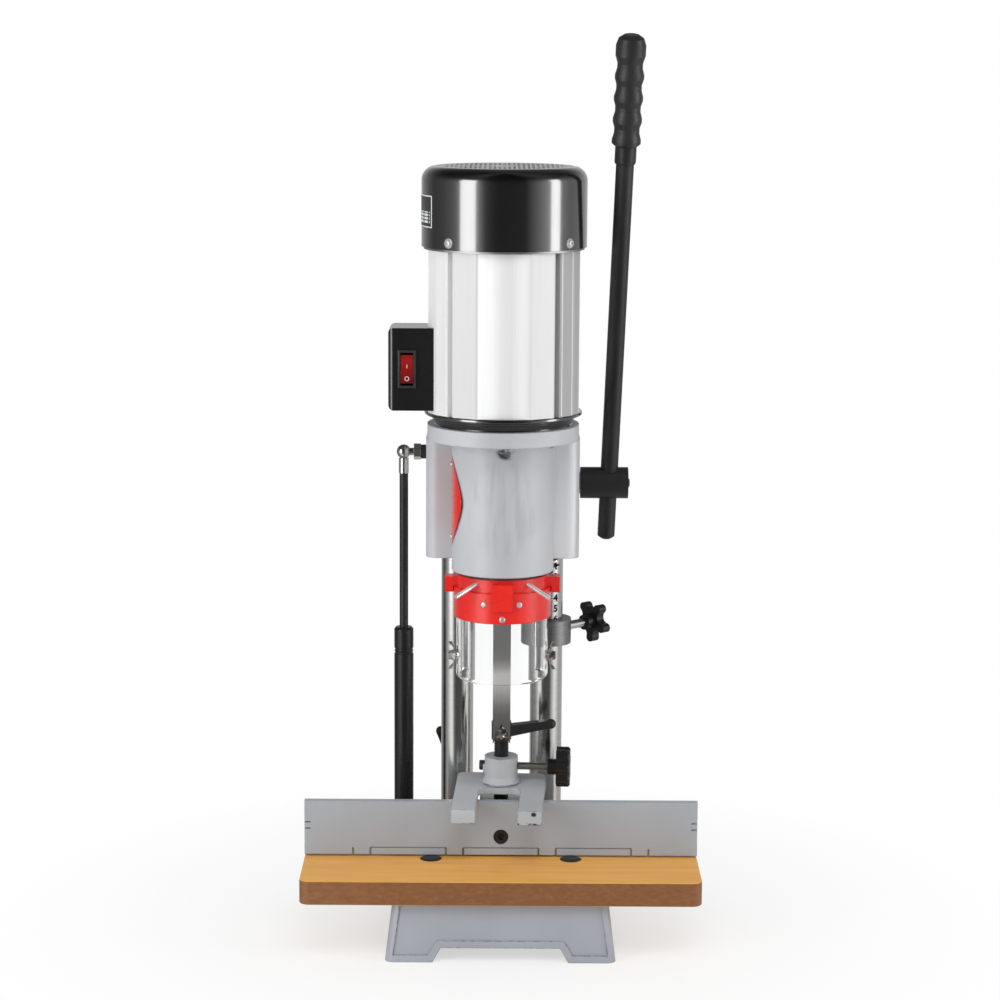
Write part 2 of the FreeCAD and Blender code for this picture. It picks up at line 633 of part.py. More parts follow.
def make_access_cover():
    inner = float(d.drum_bore) + 5.6
    gasket = head_shell(inner, float(d.drum_radius) - 0.5).common(window_prism(0).cut(window_prism(1.7)))
    shaped("access_gasket", gasket)
    cover = head_shell(inner, float(d.drum_radius) - 0.2).common(window_prism(1.7))
    for height in (float(d.window_middle) - 34, float(d.window_middle) + 31):
        cover = cover.cut(cover_screw_shape(height))
    shaped("access_cover", cover)


def cover_screw_shape(height):
    start = FreeCAD.Vector(-float(d.drum_bore) - 6.2, float(d.spindle_y), height)
    return button_screw(start, FreeCAD.Vector(-1, 0, 0), 3.2)


def button_screw(start, way, length):
    """A small screw with a low round head; its shank starts at start and runs along way."""
    shank = Part.makeCylinder(1.5, length, start, way)
    head = Part.makeCone(2.8, 2.2, 1.3, start + way * length, way)
    return shank.fuse(head)


def guard_screw_shape(across, height):
    """A screw through the guard ring and the cup wall, pointing out."""
    unit = FreeCAD.Vector(across, -math.sqrt(float(d.guard_radius) ** 2 - across ** 2), 0).normalize()
    inner = float(d.cup_radius) - float(d.cup_wall) - 1.2
    start = FreeCAD.Vector(0, float(d.spindle_y), height) + unit * inner
    return button_screw(start, unit, float(d.guard_radius) - inner)


def make_pinion_cap():
    radius = d.tooth_module * (d.pinion_teeth / 2 + 1) + 0.6
    disc = cylinder(radius, 8, d.wing_half - 8.4, d.pinion_y, d.pinion_height, turn_to_x)
    hole = cylinder(d.pinion_shaft_radius + d.slide_fit, 20, d.wing_half - 14, d.pinion_y, d.pinion_height,
                    turn_to_x)
    node(cut(disc, hole), "pinion_cap")


# ---- motor ----
def make_motor():
    y = d.spindle_y
    rim = d.shield_top - d.shield_rim
    turned("motor_shield", [(17.5, d.shield_top - 9), (17.5, d.shield_top),
                            (d.shield_radius - 1, d.shield_top),
                            (d.shield_radius, d.shield_top - 1), (d.shield_radius, rim + 0.8),
                            (d.shield_radius - 1, rim), (d.shield_radius - 4, rim - 1),
                            (d.shield_waist + 2.4, rim - 3.4), (d.shield_waist + 0.8, rim - 5.6),
                            (d.shield_waist, d.flange_top + 1), (d.shield_waist + 0.6, d.flange_top),
                            (d.drum_bore - 0.1, d.flange_top), (d.drum_bore - 0.1, d.flange_top - 7),
                            (10, d.flange_top - 7), (10, d.shield_top - 9)], 0, y)
    # extruded housing: a flat on each face, sloping facets, and a screw channel beside each corner
    radius, low, high = float(d.motor_radius), float(d.shield_top), float(d.motor_top)
    groove = radius - float(d.groove_depth)
    facets = [(20, radius), (39, radius), (39.7, groove), (43, groove), (43.7, radius), (57, radius),
              (70, radius)]
    quadrant = facets + [(180 - angle, reach) for angle, reach in reversed(facets)]
    outline_points = quadrant + [(360 - angle, reach) for angle, reach in reversed(quadrant)]
    points = [(reach * math.sin(math.radians(angle)), float(y) - reach * math.cos(math.radians(angle)), low)
              for angle, reach in outline_points]
    housing = polygon_prism(points, (0, 0, high - low))
    housing = housing.cut(Part.makeCylinder(float(d.motor_bore), high - low,
                                            FreeCAD.Vector(0, float(y), low)))
    shaped("motor_body", housing)
    turned("motor_stator", tube_profile(46.5, d.motor_bore, 512, 600), 0, y)
    rim = d.cover_radius - d.cover_wall
    plate = turned_solid([(15.5, d.motor_top), (rim, d.motor_top), (rim, d.motor_top + 12),
                          (24, d.motor_top + 12), (20, d.motor_top + 9), (15.5, d.motor_top + 9)], 0, y)
    node(cut(plate, *cover_screws()), "motor_top_plate")
    bearings = []
    for height, outer in ((d.shield_top - 9, 17.5), (d.motor_top, 15.5)):
        bearings.append(cut(cylinder(outer, 9, 0, y, height),
                            cylinder(d.shaft_radius + d.slide_fit, 11, 0, y, height - 1)))
    node(fuse(*bearings), "motor_bearings")


def cover_screws(washer=False):
    """Four screws round the fan cover's lower edge, pointing inwards."""
    screws = []
    for turn in (-41, 50.5, 139, 229):
        angle = math.radians(turn)
        out = (math.sin(angle), -math.cos(angle), 0)
        centre = (0, d.spindle_y, d.cover_bottom + 6)
        screws.append(rod_along(2.4, 10, centre, out, -(float(d.cover_radius) - 9)))
        if washer:
            screws.append(rod_along(4.4, 1.2, centre, out, -(float(d.cover_radius) - 0.05)))
            screws.append(rod_along(3.4, 2.6, centre, out, -(float(d.cover_radius) + 0.4)))
    return screws


def make_fan_cover():
    outer, wall, bend = d.cover_radius, d.cover_wall, d.cover_round
    inside = outer - wall
    cup = turned_solid([(inside, d.cover_bottom), (outer, d.cover_bottom), (outer, d.cover_top),
                        (d.grille_radius, d.cover_top), (d.grille_radius, d.cover_top - d.grille_thickness),
                        (d.grille_radius - 2, d.cover_top - d.grille_thickness),
                        (d.grille_radius - 2, d.cover_top - d.grille_thickness - wall),
                        (inside, d.cover_top - d.grille_thickness - wall)], 0, d.spindle_y)

    def rim_at(height, reach):
        def chooser(edge):
            span = edge.BoundBox
            return abs(span.ZMin - float(height)) < 0.1 and abs(span.XLength - 2 * float(reach)) < 1
        return chooser

    cup = rounded(cup, bend - wall, rim_at(d.cover_top - d.grille_thickness - wall, inside))
    cup = rounded(cup, bend, rim_at(d.cover_top, outer))
    node(cut(cup, *cover_screws()), "fan_cover")
    screws = cut(fuse(*cover_screws(True)), cylinder(d.cover_radius, 40, 0, d.spindle_y, d.cover_bottom - 10))
    node(fuse(screws, *cover_screws()), "cover_screws")


def make_grille():
    """Round grille of parallel bars across the cover's mouth, with a cross bar and a centre disc."""
    x, y, low = 0, float(d.spindle_y), float(d.cover_top - d.grille_thickness)
    radius = float(d.grille_radius)
    thick = float(d.grille_thickness)
    disc = Part.makeCylinder(radius, thick, FreeCAD.Vector(x, y, low))
    pitch, width = float(d.grille_pitch), float(d.grille_slot)
    count = int((radius - 6) / pitch)
    slots = []
    for i in range(-count, count + 1):
        offset = i * pitch
        reach = math.sqrt((radius - 5) ** 2 - offset ** 2)
        slots.append(Part.makeBox(width, 2 * reach, thick + 2,
                                  FreeCAD.Vector(offset - width / 2, y - reach, low - 1)))
    cross = Part.makeBox(2 * radius, 4, thick + 2, FreeCAD.Vector(-radius, y - 2, low - 1))
    openings = Part.makeCompound(slots).cut(cross)
    openings = openings.cut(Part.makeCylinder(12, thick + 2, FreeCAD.Vector(x, y, low - 1)))
    shaped("fan_grille", disc.cut(openings))


def make_spindle():
    y = d.spindle_y
    turned("motor_shaft", [(0, 410), (d.shaft_radius, 410), (d.shaft_radius, d.motor_top + 20),
                           (0, d.motor_top + 20)], 0, y)
    turned("motor_rotor", tube_profile(d.shaft_radius, 46, 514, 598), 0, y)
    turned("chuck_body", [(d.bit_radius, 386), (13, 386), (d.chuck_radius, 393), (d.chuck_radius, 424),
                          (d.chuck_radius - 3, 427), (d.shaft_radius, 427), (d.shaft_radius, 410), (0, 410),
                          (0, 405), (d.bit_radius, 405)], 0, y)
    turned("chuck_jaws", [(d.bit_radius, 376), (8.5, 376), (12.9, 386), (d.bit_radius, 386)], 0, y)
    # fan: a hub with straight blades
    low = float(d.motor_top) + 14
    hub = Part.makeCylinder(20, 6, FreeCAD.Vector(0, float(y), low))
    plate = Part.makeCylinder(59, 2, FreeCAD.Vector(0, float(y), low))
    blades = []
    for i in range(9):
        blade = Part.makeBox(40, 2.4, 24, FreeCAD.Vector(18, -1.2, low))
        blade.rotate(FreeCAD.Vector(0, 0, 0), FreeCAD.Vector(0, 0, 1), i * 40)
        blade.translate(FreeCAD.Vector(0, float(y), 0))
        blades.append(blade)
    fan = plate.fuse([hub] + blades)
    fan = fan.cut(Part.makeCylinder(float(d.shaft_radius), 40, FreeCAD.Vector(0, float(y), low - 5)))
    shaped("cooling_fan", fan)


# ---- chisel and bit ----
def make_chisel():
    half = float(d.chisel_size) / 2
    y, tip, shoulder = float(d.spindle_y), float(d.chisel_tip), float(d.chisel_shoulder)
    bar = Part.makeBox(2 * half, 2 * half, shoulder - tip, FreeCAD.Vector(-half, y - half, tip))
    collar = Part.makeCylinder(13, 4, FreeCAD.Vector(0, y, shoulder))
    shank = Part.makeCylinder(9.5, float(d.floor_top) - shoulder, FreeCAD.Vector(0, y, shoulder))
    chisel = bar.fuse([collar, shank])
    chisel = chisel.cut(Part.makeCylinder(float(d.bit_radius) + 0.6, 260, FreeCAD.Vector(0, y, tip - 10)))
    # four pointed corners: a pointed arch is cut through both ways
    arch = [(-half + 1, tip - 1), (-half + 2.2, tip + 9), (0, tip + 17), (half - 2.2, tip + 9),
            (half - 1, tip - 1)]
    along_y = polygon_prism([(a, y - 20, b) for a, b in arch], (0, 40, 0))
    along_x = polygon_prism([(-20, y + a, b) for a, b in arch], (40, 0, 0))
    window_low = Part.makeBox(20, 7, 15, FreeCAD.Vector(3, y - 3.5, tip + 24))
    window_high = Part.makeBox(20, 7, 34, FreeCAD.Vector(3, y - 3.5, tip + 62))
    shaped("mortise_chisel", chisel.cut([along_y, along_x, window_low, window_high]))
    turned("chisel_bushing", tube_profile(9.5, 12.5, d.neck_bottom, d.floor_top), 0, d.spindle_y)
    turned("auger_bit", [(0, d.chisel_tip + 0.5), (1.2, d.chisel_tip + 3), (d.bit_radius, d.chisel_tip + 3.5),
                         (d.bit_radius, 405), (0, 405)], 0, d.spindle_y)


# ---- guard ----
def guard_pins(length, back):
    """Two pins that slope out of the clamp ring to the front, one on each side."""
    return [rod_along(2.1, length, (side * 22, d.spindle_y - 33, 340), (side * 19, -17.5, -9), back)
            for side in (-1, 1)]


def make_guard():
    y = d.spindle_y
    low, high = d.guard_ring_top - 3.5, d.guard_ring_top + 11.5
    ring = cylinder(d.cup_radius, high - low, 0, y, low)
    ears = []
    for left, right, bottom in ((d.guard_radius, 51.5, 327), (38, d.guard_radius + 1, d.guard_ring_top)):
        for side in (-1, 1):
            near, far = (left, right) if side > 0 else (-Size.of(right), -Size.of(left))
            ears.append(box(near, far, y - 7, y + 7, bottom, 341))
    front = y - d.guard_radius
    tongue = box(-9.3, 9.3, front - 2.6, front, 317, 341)
    bridge = box(-9.3, 9.3, front - 2.6, y - 38, d.guard_ring_top, 341)
    clamp = fuse(ring, *ears, tongue, bridge)
    node(cut(clamp, cylinder(d.neck_radius, 40, 0, y, 320), *guard_pins(6, 2)), "guard_clamp_ring")
    node(fuse(*guard_pins(29.4, 2)), "guard_pins")
    collar = Part.makeCylinder(float(d.guard_radius), float(d.guard_ring_top - d.guard_ring_bottom),
                               FreeCAD.Vector(0, float(y), float(d.guard_ring_bottom)))
    collar = collar.makeChamfer(0.7, [edge for edge in collar.Edges if edge.BoundBox.ZLength < 0.01])
    collar = collar.cut(Part.makeCylinder(float(d.cup_radius), 60, FreeCAD.Vector(0, float(y), 290)))
    screws = [guard_screw_shape(across, height) for across,
              height in ((-16.3, 322.5), (15, 322.5), (0, 309.5))]
    shaped("guard_ring", collar.cut(screws))
    stud_start = float(d.cup_radius) - float(d.cup_wall) - 1.2
    nut_studs = [Part.makeCylinder(float(d.wing_stud_radius), 10.8,
                                   FreeCAD.Vector(side * stud_start, float(y), float(d.wing_nut_height)),
                                   FreeCAD.Vector(side, 0, 0)) for side in (-1, 1)]
    lid_screws = [cover_screw_shape(float(d.window_middle) - 34),
                  cover_screw_shape(float(d.window_middle) + 31)]
    shaped("small_screws", Part.makeCompound(screws + nut_studs + lid_screws))
    # clear cup, open over a sector at the back so that it clears the hold-down post
    radius, low, high = float(d.cup_radius), float(d.cup_bottom), 326.0
    cup = Part.makeCylinder(radius, high - low, FreeCAD.Vector(0, float(y), low))
    rim = [edge for edge in cup.Edges if edge.BoundBox.ZMax < low + 0.1]
    cup = cup.makeFillet(5, rim)
    inner = Part.makeCylinder(radius - float(d.cup_wall), high - low + 2,
                              FreeCAD.Vector(0, float(y), low - 1))
    cup = cup.cut(inner)
    reach = 60 * math.tan(math.radians(float(d.cup_opening)))
    wedge = [(0, float(y), low - 1), (reach, float(y) + 60, low - 1), (-reach, float(y) + 60, low - 1)]
    cup = cup.cut([polygon_prism(wedge, (0, 0, 302 - low))] + screws + nut_studs)
    shaped("guard_cup", cup)
    # wing nuts: a coned hub and two raised wings, each outline given as (out, up)
    wing = [(0.6, 2.5), (1.5, 7), (5.4, 10.5), (6.4, 12.8), (3.2, 12.6), (0.4, 5.5)]
    for label, side in (("wing_nut_left", -1), ("wing_nut_right", 1)):
        face = side * (radius + 0.5)
        height = float(d.wing_nut_height)
        nut = Part.makeCone(5.2, 3.8, 6.5, FreeCAD.Vector(face, float(y), height), FreeCAD.Vector(side, 0, 0))
        for way in (-1, 1):
            points = [(face + side * out, float(y) - 1.1, height + way * up) for out, up in wing]
            nut = nut.fuse(polygon_prism(points, (0, 2.2, 0)))
        bore = Part.makeCylinder(float(d.wing_stud_radius + d.slide_fit), 120,
                                 FreeCAD.Vector(-60, float(y), height),
                                 FreeCAD.Vector(1, 0, 0))
        shaped(label, nut.cut(bore))


# ---- switch ----
def make_switch():
    case = box(d.switch_left, d.switch_right + 20, d.switch_front, d.switch_back, d.switch_bottom,
               d.switch_top)
    case = rounded(case, 5, lambda edge: edge.BoundBox.YLength > 5 and edge.BoundBox.XMax < -90
                   or edge.BoundBox.YMax < float(d.switch_front) + 0.1 and edge.BoundBox.XMax < -90)
    motor = [piece for piece in nodes if piece.Label == "motor_body"][0]
    inside = cylinder(d.motor_bore + 3, 200, 0, d.spindle_y, 450)
    well = box(d.rocker_x - 5.6, d.rocker_x + 5.6, d.switch_front - 1, d.switch_front + 14,
               d.rocker_height - 14.3, d.rocker_height + 14.3)
    frame = box(d.rocker_x - 7.6, d.rocker_x + 7.6, d.switch_front - 2, d.switch_front,
                d.rocker_height - 16.4, d.rocker_height + 16.4)
    hole = box(d.rocker_x - 5.6, d.rocker_x + 5.6, d.switch_front - 3, d.switch_front + 1,
               d.rocker_height - 14.3, d.rocker_height + 14.3)
    node(fuse(cut(case, motor, inside, well), cut(frame, hole)), "switch_box")
    # rocker: pivots on its own middle; its two faces meet in a shallow valley
    x, y, z = float(d.rocker_x), float(d.switch_front), float(d.rocker_height)
    side = [(y - 1.2, z - 12.6), (y - 3.6, z - 12.2), (y - 1.6, z), (y - 1.2, z + 12.4), (y + 2.5, z + 12.4),
            (y + 7, z + 4), (y + 7, z - 4), (y + 2.5, z - 12.6)]
    shaped("switch_rocker", polygon_prism([(x - 5.3, a, b) for a, b in side], (10.6, 0, 0)))


# ---- lever and pinion ----
def gear_outline(teeth, module, x, centre_y, centre_z, slack=0.08):
    """Involute teeth for a 20 degree rack; tooth 0 points at the rack, along +Y."""
    pressure = math.radians(20)
    pitch_radius = module * teeth / 2
    base_radius = pitch_radius * math.cos(pressure)
    root = pitch_radius - 1.25 * module
    tip = pitch_radius + 0.95 * module

    def half_angle(radius):
        slope = math.acos(base_radius / radius)
        lead = math.tan(pressure) - pressure - math.tan(slope) + slope
        return math.pi / (2 * teeth) - slack / (2 * pitch_radius) + lead

    radii = [base_radius + (tip - base_radius) * i / 3 for i in range(4)]
    flank = [(root, half_angle(base_radius) + 0.012)] + [(radius, half_angle(radius)) for radius in radii]
    points = []
    for tooth in range(teeth):
        middle = 2 * math.pi * tooth / teeth
        for radius, half in flank:
            points.append((radius, middle - half))
        for radius, half in reversed(flank):
            points.append((radius, middle + half))
    return [(x, centre_y + radius * math.cos(angle), centre_z + radius * math.sin(angle))
            for radius, angle in points]


def make_lever():
    py, pz = float(d.pinion_y), float(d.pinion_height)
    x0 = float(d.column_x) - float(d.pinion_width) / 2
    blank = polygon_prism(gear_outline(int(d.pinion_teeth.value), float(d.tooth_module), x0, py, pz),
                          (float(d.pinion_width), 0, 0))
    blank = blank.cut(Part.makeCylinder(float(d.pinion_shaft_radius), 60, FreeCAD.Vector(x0 - 20, py, pz),
                                        FreeCAD.Vector(1, 0, 0)))
    shaped("pinion_gear", blank)
    node(cylinder(d.pinion_shaft_radius, d.hub_left + d.hub_socket - 17, 17, d.pinion_y, d.pinion_height,
                  turn_to_x),
         "pinion_shaft")
    lean = FreeCAD.Rotation(FreeCAD.Vector(1, 0, 0), float(d.lever_lean))
    splay = FreeCAD.Rotation(FreeCAD.Vector(0, 1, 0), float(d.lever_splay))
    tilt = lean.multiply(splay)
    along = tilt.multVec(FreeCAD.Vector(0, 0, 1))
    hub = cylinder(d.hub_radius, d.hub_right - d.hub_left, d.hub_left, d.pinion_y, d.pinion_height, turn_to_x)
    button = cone(5, 3, 1.6, d.hub_right, d.pinion_y, d.pinion_height, turn_to_x)
    hole = rod_along(d.lever_radius, 80, (d.lever_x, d.pinion_y, d.pinion_height), along, 40)
    socket = cylinder(d.pinion_shaft_radius, d.hub_socket, d.hub_left, d.pinion_y, d.pinion_height, turn_to_x)
    node(cut(fuse(hub, button), hole, socket), "lever_hub")
    turned("lever_rod", [(0, -d.lever_below), (d.lever_radius - 3, -d.lever_below),
                         (d.lever_radius, -d.lever_below + 2.4), (d.lever_radius, d.grip_start),
                         (6, d.grip_start), (6, d.grip_start + 60), (0, d.grip_start + 60)],
           d.lever_x, d.pinion_y, d.pinion_height, tilt)
    start = d.grip_start
    profile = [(6, start), (9, start), (9.4, start + 1.5), (9.4, start + 15.5), (11.2, start + 16.5)]
    for ridge in range(4):
        middle = 19.5 + 19 * ridge
        profile += [(12.7, start + middle - 1.5), (12.7, start + middle + 1.5), (11.1, start + middle + 7.5),
                    (11.1, start + middle + 12)]
    profile += [(13.1, start + 95), (13.1, start + 104), (11, start + 110), (6.5, start + 113),
                (0, start + 113),
                (0, start + 60), (6, start + 60)]
    turned("lever_grip", profile, d.lever_x, d.pinion_y, d.pinion_height, tilt)


# ---- depth stop ----
def lobed_profile(lobes, outer, inner, share):
    """A star knob in the XY plane, of lobe and waist arcs; share is half a lobe as a part of the step."""
    step = 2 * math.pi / lobes
    edges = []
    def point(radius, angle):
        return FreeCAD.Vector(radius * math.cos(angle), radius * math.sin(angle), 0)
    flank = (outer + inner) / 2
    for i in range(lobes):
        middle = i * step
        edges.append(Part.Arc(point(flank, middle - share * step), point(outer, middle),
                              point(flank, middle + share * step)).toShape())
        edges.append(Part.Arc(point(flank, middle + share * step), point(inner, middle + 0.5 * step),
                              point(flank, middle + (1 - share) * step)).toShape())
    return Part.Face(Part.Wire(edges))


def star_knob(lobes, outer, inner, share, collar_radius, collar_length, head_length, stud_radius,
              stud_length):
    """Knob along +Z: stud from 0, then a collar, then the lobed head."""
    head = lobed_profile(lobes, outer, inner, share)
    head.translate(FreeCAD.Vector(0, 0, stud_length + collar_length))
    head = head.extrude(FreeCAD.Vector(0, 0, head_length))
    rim = [edge for edge in head.Edges if edge.BoundBox.ZLength < 0.01 and
           edge.BoundBox.ZMin > stud_length + collar_length + 1]
    head = head.makeChamfer(1.5, rim)
    collar = Part.makeCylinder(collar_radius, collar_length, FreeCAD.Vector(0, 0, stud_length))
    return Part.makeCylinder(stud_radius, stud_length, FreeCAD.Vector(0, 0, 0)), collar.fuse(head)


def make_depth_stop():
    block = cylinder(d.stop_radius, d.stop_top - d.stop_bottom, d.column_x, d.column_y, d.stop_bottom)
    bore = cylinder(d.column_radius + d.slide_fit, 60, d.column_x, d.column_y, d.stop_bottom - 10)
    middle = (d.stop_bottom + d.stop_top) / 2
    turn = FreeCAD.Rotation(FreeCAD.Vector(0, 0, 1), float(d.stop_turn)).multiply(turn_to_x)
    stud_hole = cylinder(4.2 + d.slide_fit, 30, d.column_x, d.column_y, middle, turn)
    node(cut(block, bore, stud_hole), "stop_block")
    stud, knob = star_knob(5, 19.8, 10.6, 0.22, 7.2, 8, 10, 4.2, 32.6)
    way = FreeCAD.Vector(math.cos(math.radians(float(d.stop_turn))),
                         math.sin(math.radians(float(d.stop_turn))), 0)
    start = FreeCAD.Vector(float(d.column_x), float(d.column_y),
                           float(middle)) + way * (float(d.column_radius) + 0.4)
    shaped("stop_stud", stud, FreeCAD.Placement(start, turn))
    shaped("stop_knob", knob, FreeCAD.Placement(start, turn))


# ---- fence ----
def make_fence():
    half = d.table_width / 2
    back = d.fence_front + d.fence_thickness
    body = new_body("fence_plate")
    plan = sketch_on(body, "XY_Plane", d.fence_bottom)
    outline(plan, [(-half, d.fence_front), (half, d.fence_front), (half, back), (-half, back)])
    pad(body, plan, d.fence_top - d.fence_bottom)
    slits = sketch_on(body, "XZ_Plane", 0)
    for spread in (-1.5, -0.5, 0.5, 1.5):
        for pair in (-0.5, 0.5):
            middle = spread * d.slit_spread + pair * d.slit_pair
            low, high = d.fence_bottom - 1, d.fence_bottom + d.slit_height
            outline(slits, [(middle - d.slit_width / 2, low), (middle + d.slit_width / 2, low),
                            (middle + d.slit_width / 2, high), (middle - d.slit_width / 2, high)])
    for side in (-1, 1):
        for height in (d.end_slit_low, d.end_slit_high):
            inner, outer = side * (half - d.end_slit_length), side * (half + 1)
            outline(slits, [(inner, height), (outer, height), (outer, height + d.slit_width),
                            (inner, height + d.slit_width)])
    pocket(body, slits, 200, midplane=True)
    # a fine line joins each pair of slits to the next one
    step = sketch_on(body, "XZ_Plane", -d.fence_front - 0.4)
    level = d.fence_bottom + d.slit_height
    for spread in (-1, 0, 1):
        middle, reach = spread * d.slit_spread, (d.slit_spread - d.slit_pair) / 2
        outline(step, [(middle - reach, level), (middle + reach, level), (middle + reach, level + d.tab_line),
                       (middle - reach, level + d.tab_line)])
    pocket(body, step, 5, backwards=True)
    sunk = sketch_on(body, "XZ_Plane", -d.fence_front - 6)
    circle(sunk, 0, d.fence_bolt_height, 6.9)
    pocket(body, sunk, 10, backwards=True)
    through = sketch_on(body, "XZ_Plane", 0)
    circle(through, 0, d.fence_bolt_height, 4.2)
    pocket(body, through, 120, midplane=True)
    bolt = fuse(cylinder(6.6, 5.4, 0, d.fence_front + 0.6, d.fence_bolt_height, turn_to_y),
                cylinder(4, 15.5, 0, d.fence_front + 5, d.fence_bolt_height, turn_to_y))
    node(cut(bolt, hexagon(6, 3.4, 0, d.fence_front, d.fence_bolt_height, turn_to_y)), "fence_bolt")
    block = box(-21, 21, back, d.post_y + 22, d.fence_bottom, d.ring_bottom)
    block = rounded(block, 8, lambda edge: upright_edge(edge) and edge.BoundBox.YMin > 0)
    bar_socket = box(-d.bar_width / 2, d.bar_width / 2, d.post_y + 14, 60, d.bar_bottom, d.bar_top)
    post_bore = cylinder(d.post_radius, 60, 0, d.post_y, d.bar_bottom)
    bolt_bore = cylinder(4, 20.5, 0, d.fence_front, d.fence_bolt_height, turn_to_y)
    node(cut(block, bar_socket, post_bore, bolt_bore), "fence_bracket")
    node(box(-d.bar_width / 2, d.bar_width / 2, d.post_y + 14, d.bar_back, d.bar_bottom, d.bar_top),
         "slide_bar")


def make_post():
    turned("hold_down_post", [(0, d.bar_bottom), (d.post_radius, d.bar_bottom),
                              (d.post_radius, d.post_top - 1.5),
                              (d.post_radius - 1.5, d.post_top), (0, d.post_top)], 0, d.post_y)
    # serrated lock ring at the post's foot
    outer, inner, count = float(d.ring_radius), float(d.ring_radius) - 1.8, 36
    points = []
    for i in range(count):
        for offset, radius in ((-0.32, inner), (-0.22, outer), (0.22, outer), (0.32, inner)):
            angle = 2 * math.pi * (i + offset) / count
            points.append((radius * math.cos(angle), float(d.post_y) + radius * math.sin(angle),
                           float(d.ring_bottom)))
    ring = polygon_prism(points, (0, 0, float(d.ring_top - d.ring_bottom)))
    ring = ring.cut(Part.makeCylinder(float(d.post_radius), 40, FreeCAD.Vector(0, float(d.post_y), 100)))
    shaped("post_lock_ring", ring)


def make_hold_down():
    """Cast holder on the post with two prongs that reach over the fence."""
    back, front, half = float(d.fork_back - d.post_y), float(d.fork_front - d.post_y), float(d.fork_half)
    side = [(back, 131), (back, 142), (front, 129.5), (front, 116.5), (front + 14, 116.5),
            (front + 32, 130.6)]
    plate = polygon_prism([(-half, a, b) for a, b in side], (2 * half, 0, 0))
    corners = [edge for edge in plate.Edges if upright_edge(edge, 3)]
    plate = plate.makeFillet(6, [edge for edge in corners if edge.BoundBox.YMin > back - 1])
    slot = float(d.fork_slot)
    opening = Part.makeBox(2 * slot, 80, 60, FreeCAD.Vector(-slot, front - 20 - 11, 100))
    opening = opening.makeFillet(8, [edge for edge in opening.Edges if upright_edge(edge)
                                     and edge.BoundBox.YMin > front + 20])
    plate = plate.cut(opening)
    hub = Part.makeCylinder(float(d.holder_radius), float(d.holder_top) - 131, FreeCAD.Vector(0, 0, 131))
    skirt = Part.makeCone(17.6, float(d.holder_radius), 6, FreeCAD.Vector(0, 0, 139))
    left_pad = Part.makeCone(6.4, 5.6, 4.6, FreeCAD.Vector(-12, 0, float(d.knob_height) - 2),
                             FreeCAD.Vector(-1, 0, 0))
    casting = plate.fuse([hub, skirt, left_pad])
    casting = casting.cut(Part.makeCylinder(float(d.post_radius) + float(d.slide_fit), 100,
                                            FreeCAD.Vector(0, 0, 90)))
    casting = casting.cut(Part.makeCylinder(3.75, 30, FreeCAD.Vector(0, 0, float(d.knob_height)),
                                            FreeCAD.Vector(1, 0, 0)))
    spot = FreeCAD.Placement(FreeCAD.Vector(0, float(d.post_y), 0),
                             FreeCAD.Rotation(FreeCAD.Vector(0, 0, 1), float(d.fork_yaw)))
    shaped("hold_down_fork", casting, spot)
    stud, knob = star_knob(7, 18.8, 15.5, 0.28, 7.4, 8, 12.5, 3.7, 43 - 7.2)
    turn = FreeCAD.Rotation(FreeCAD.Vector(0, 0, 1), float(d.fork_yaw)).multiply(turn_to_x)
    reach = FreeCAD.Rotation(FreeCAD.Vector(0, 0, 1), float(d.fork_yaw)).multVec(FreeCAD.Vector(7.2, 0, 0))
    start = FreeCAD.Vector(reach.x, float(d.post_y) + reach.y, float(d.knob_height))
    shaped("hold_down_stud", stud, FreeCAD.Placement(start, turn))
    shaped("hold_down_knob", knob, FreeCAD.Placement(start, turn))


def clamp_lever(rise, reach, lift, hub_radius, hub_low, hub_high, bore):
    """A clamp handle: hub about Z, an arm along +X that rises and narrows, and a rounded end."""
    hub = Part.makeCylinder(hub_radius, hub_high - hub_low, FreeCAD.Vector(0, 0, hub_low))
    hub = hub.makeChamfer(1.4, [edge for edge in hub.Edges if edge.BoundBox.ZMax < hub_low + 0.1])
    top = hub_low + rise
    side = [(2, -6, top - 10.5), (2, 6, top - 10.5), (2, 6, top), (2, -6, top)]
    root = Part.makePolygon([FreeCAD.Vector(*p) for p in side + side[:1]])
    tip_side = [(reach, -4, top + lift - 7.2), (reach, 4, top + lift - 7.2), (reach, 4, top + lift),
                (reach, -4, top + lift)]
    end = Part.makePolygon([FreeCAD.Vector(*p) for p in tip_side + tip_side[:1]])
    arm = Part.makeLoft([root, end], True)
    ball = Part.makeSphere(4.7, FreeCAD.Vector(reach + 1.5, 0, top + lift - 3.8))
    lever = hub.fuse([arm, ball])
    return lever.cut(Part.makeCylinder(bore, 60, FreeCAD.Vector(0, 0, hub_low - 20)))


def make_clamp_levers():
    low, high = float(d.lever_nut_bottom), float(d.lever_nut_top)
    lever = clamp_lever(14, 44, 5.5, 9.1, low, high, float(d.post_radius) + float(d.slide_fit))
    shaped("hold_down_lever", lever, FreeCAD.Placement(FreeCAD.Vector(0, float(d.post_y), 0), upright))
    # the fence clamp: its hub stands on the left of the guide, its arm points up and out
    middle = float(d.bar_bottom + d.bar_top) / 2
    start = float(d.bar_width / 2) + 9.5
    screw = float(d.fence_screw_radius)
    lever = clamp_lever(12, 74, 28, 9, 0, 16, screw)
    lever = lever.fuse(Part.makeCylinder(screw, start - float(d.bar_width / 2) - 0.3 + 16,
                                         FreeCAD.Vector(0, 0, float(d.bar_width / 2) + 0.3 - start)))
    away = FreeCAD.Rotation(FreeCAD.Vector(0, 0, 1), FreeCAD.Vector(0, 1, 0), FreeCAD.Vector(-1, 0, 0), "ZXY")
    shaped("fence_lever", lever, FreeCAD.Placement(FreeCAD.Vector(-start, float(d.fence_lever_y), middle),
                                                   away))


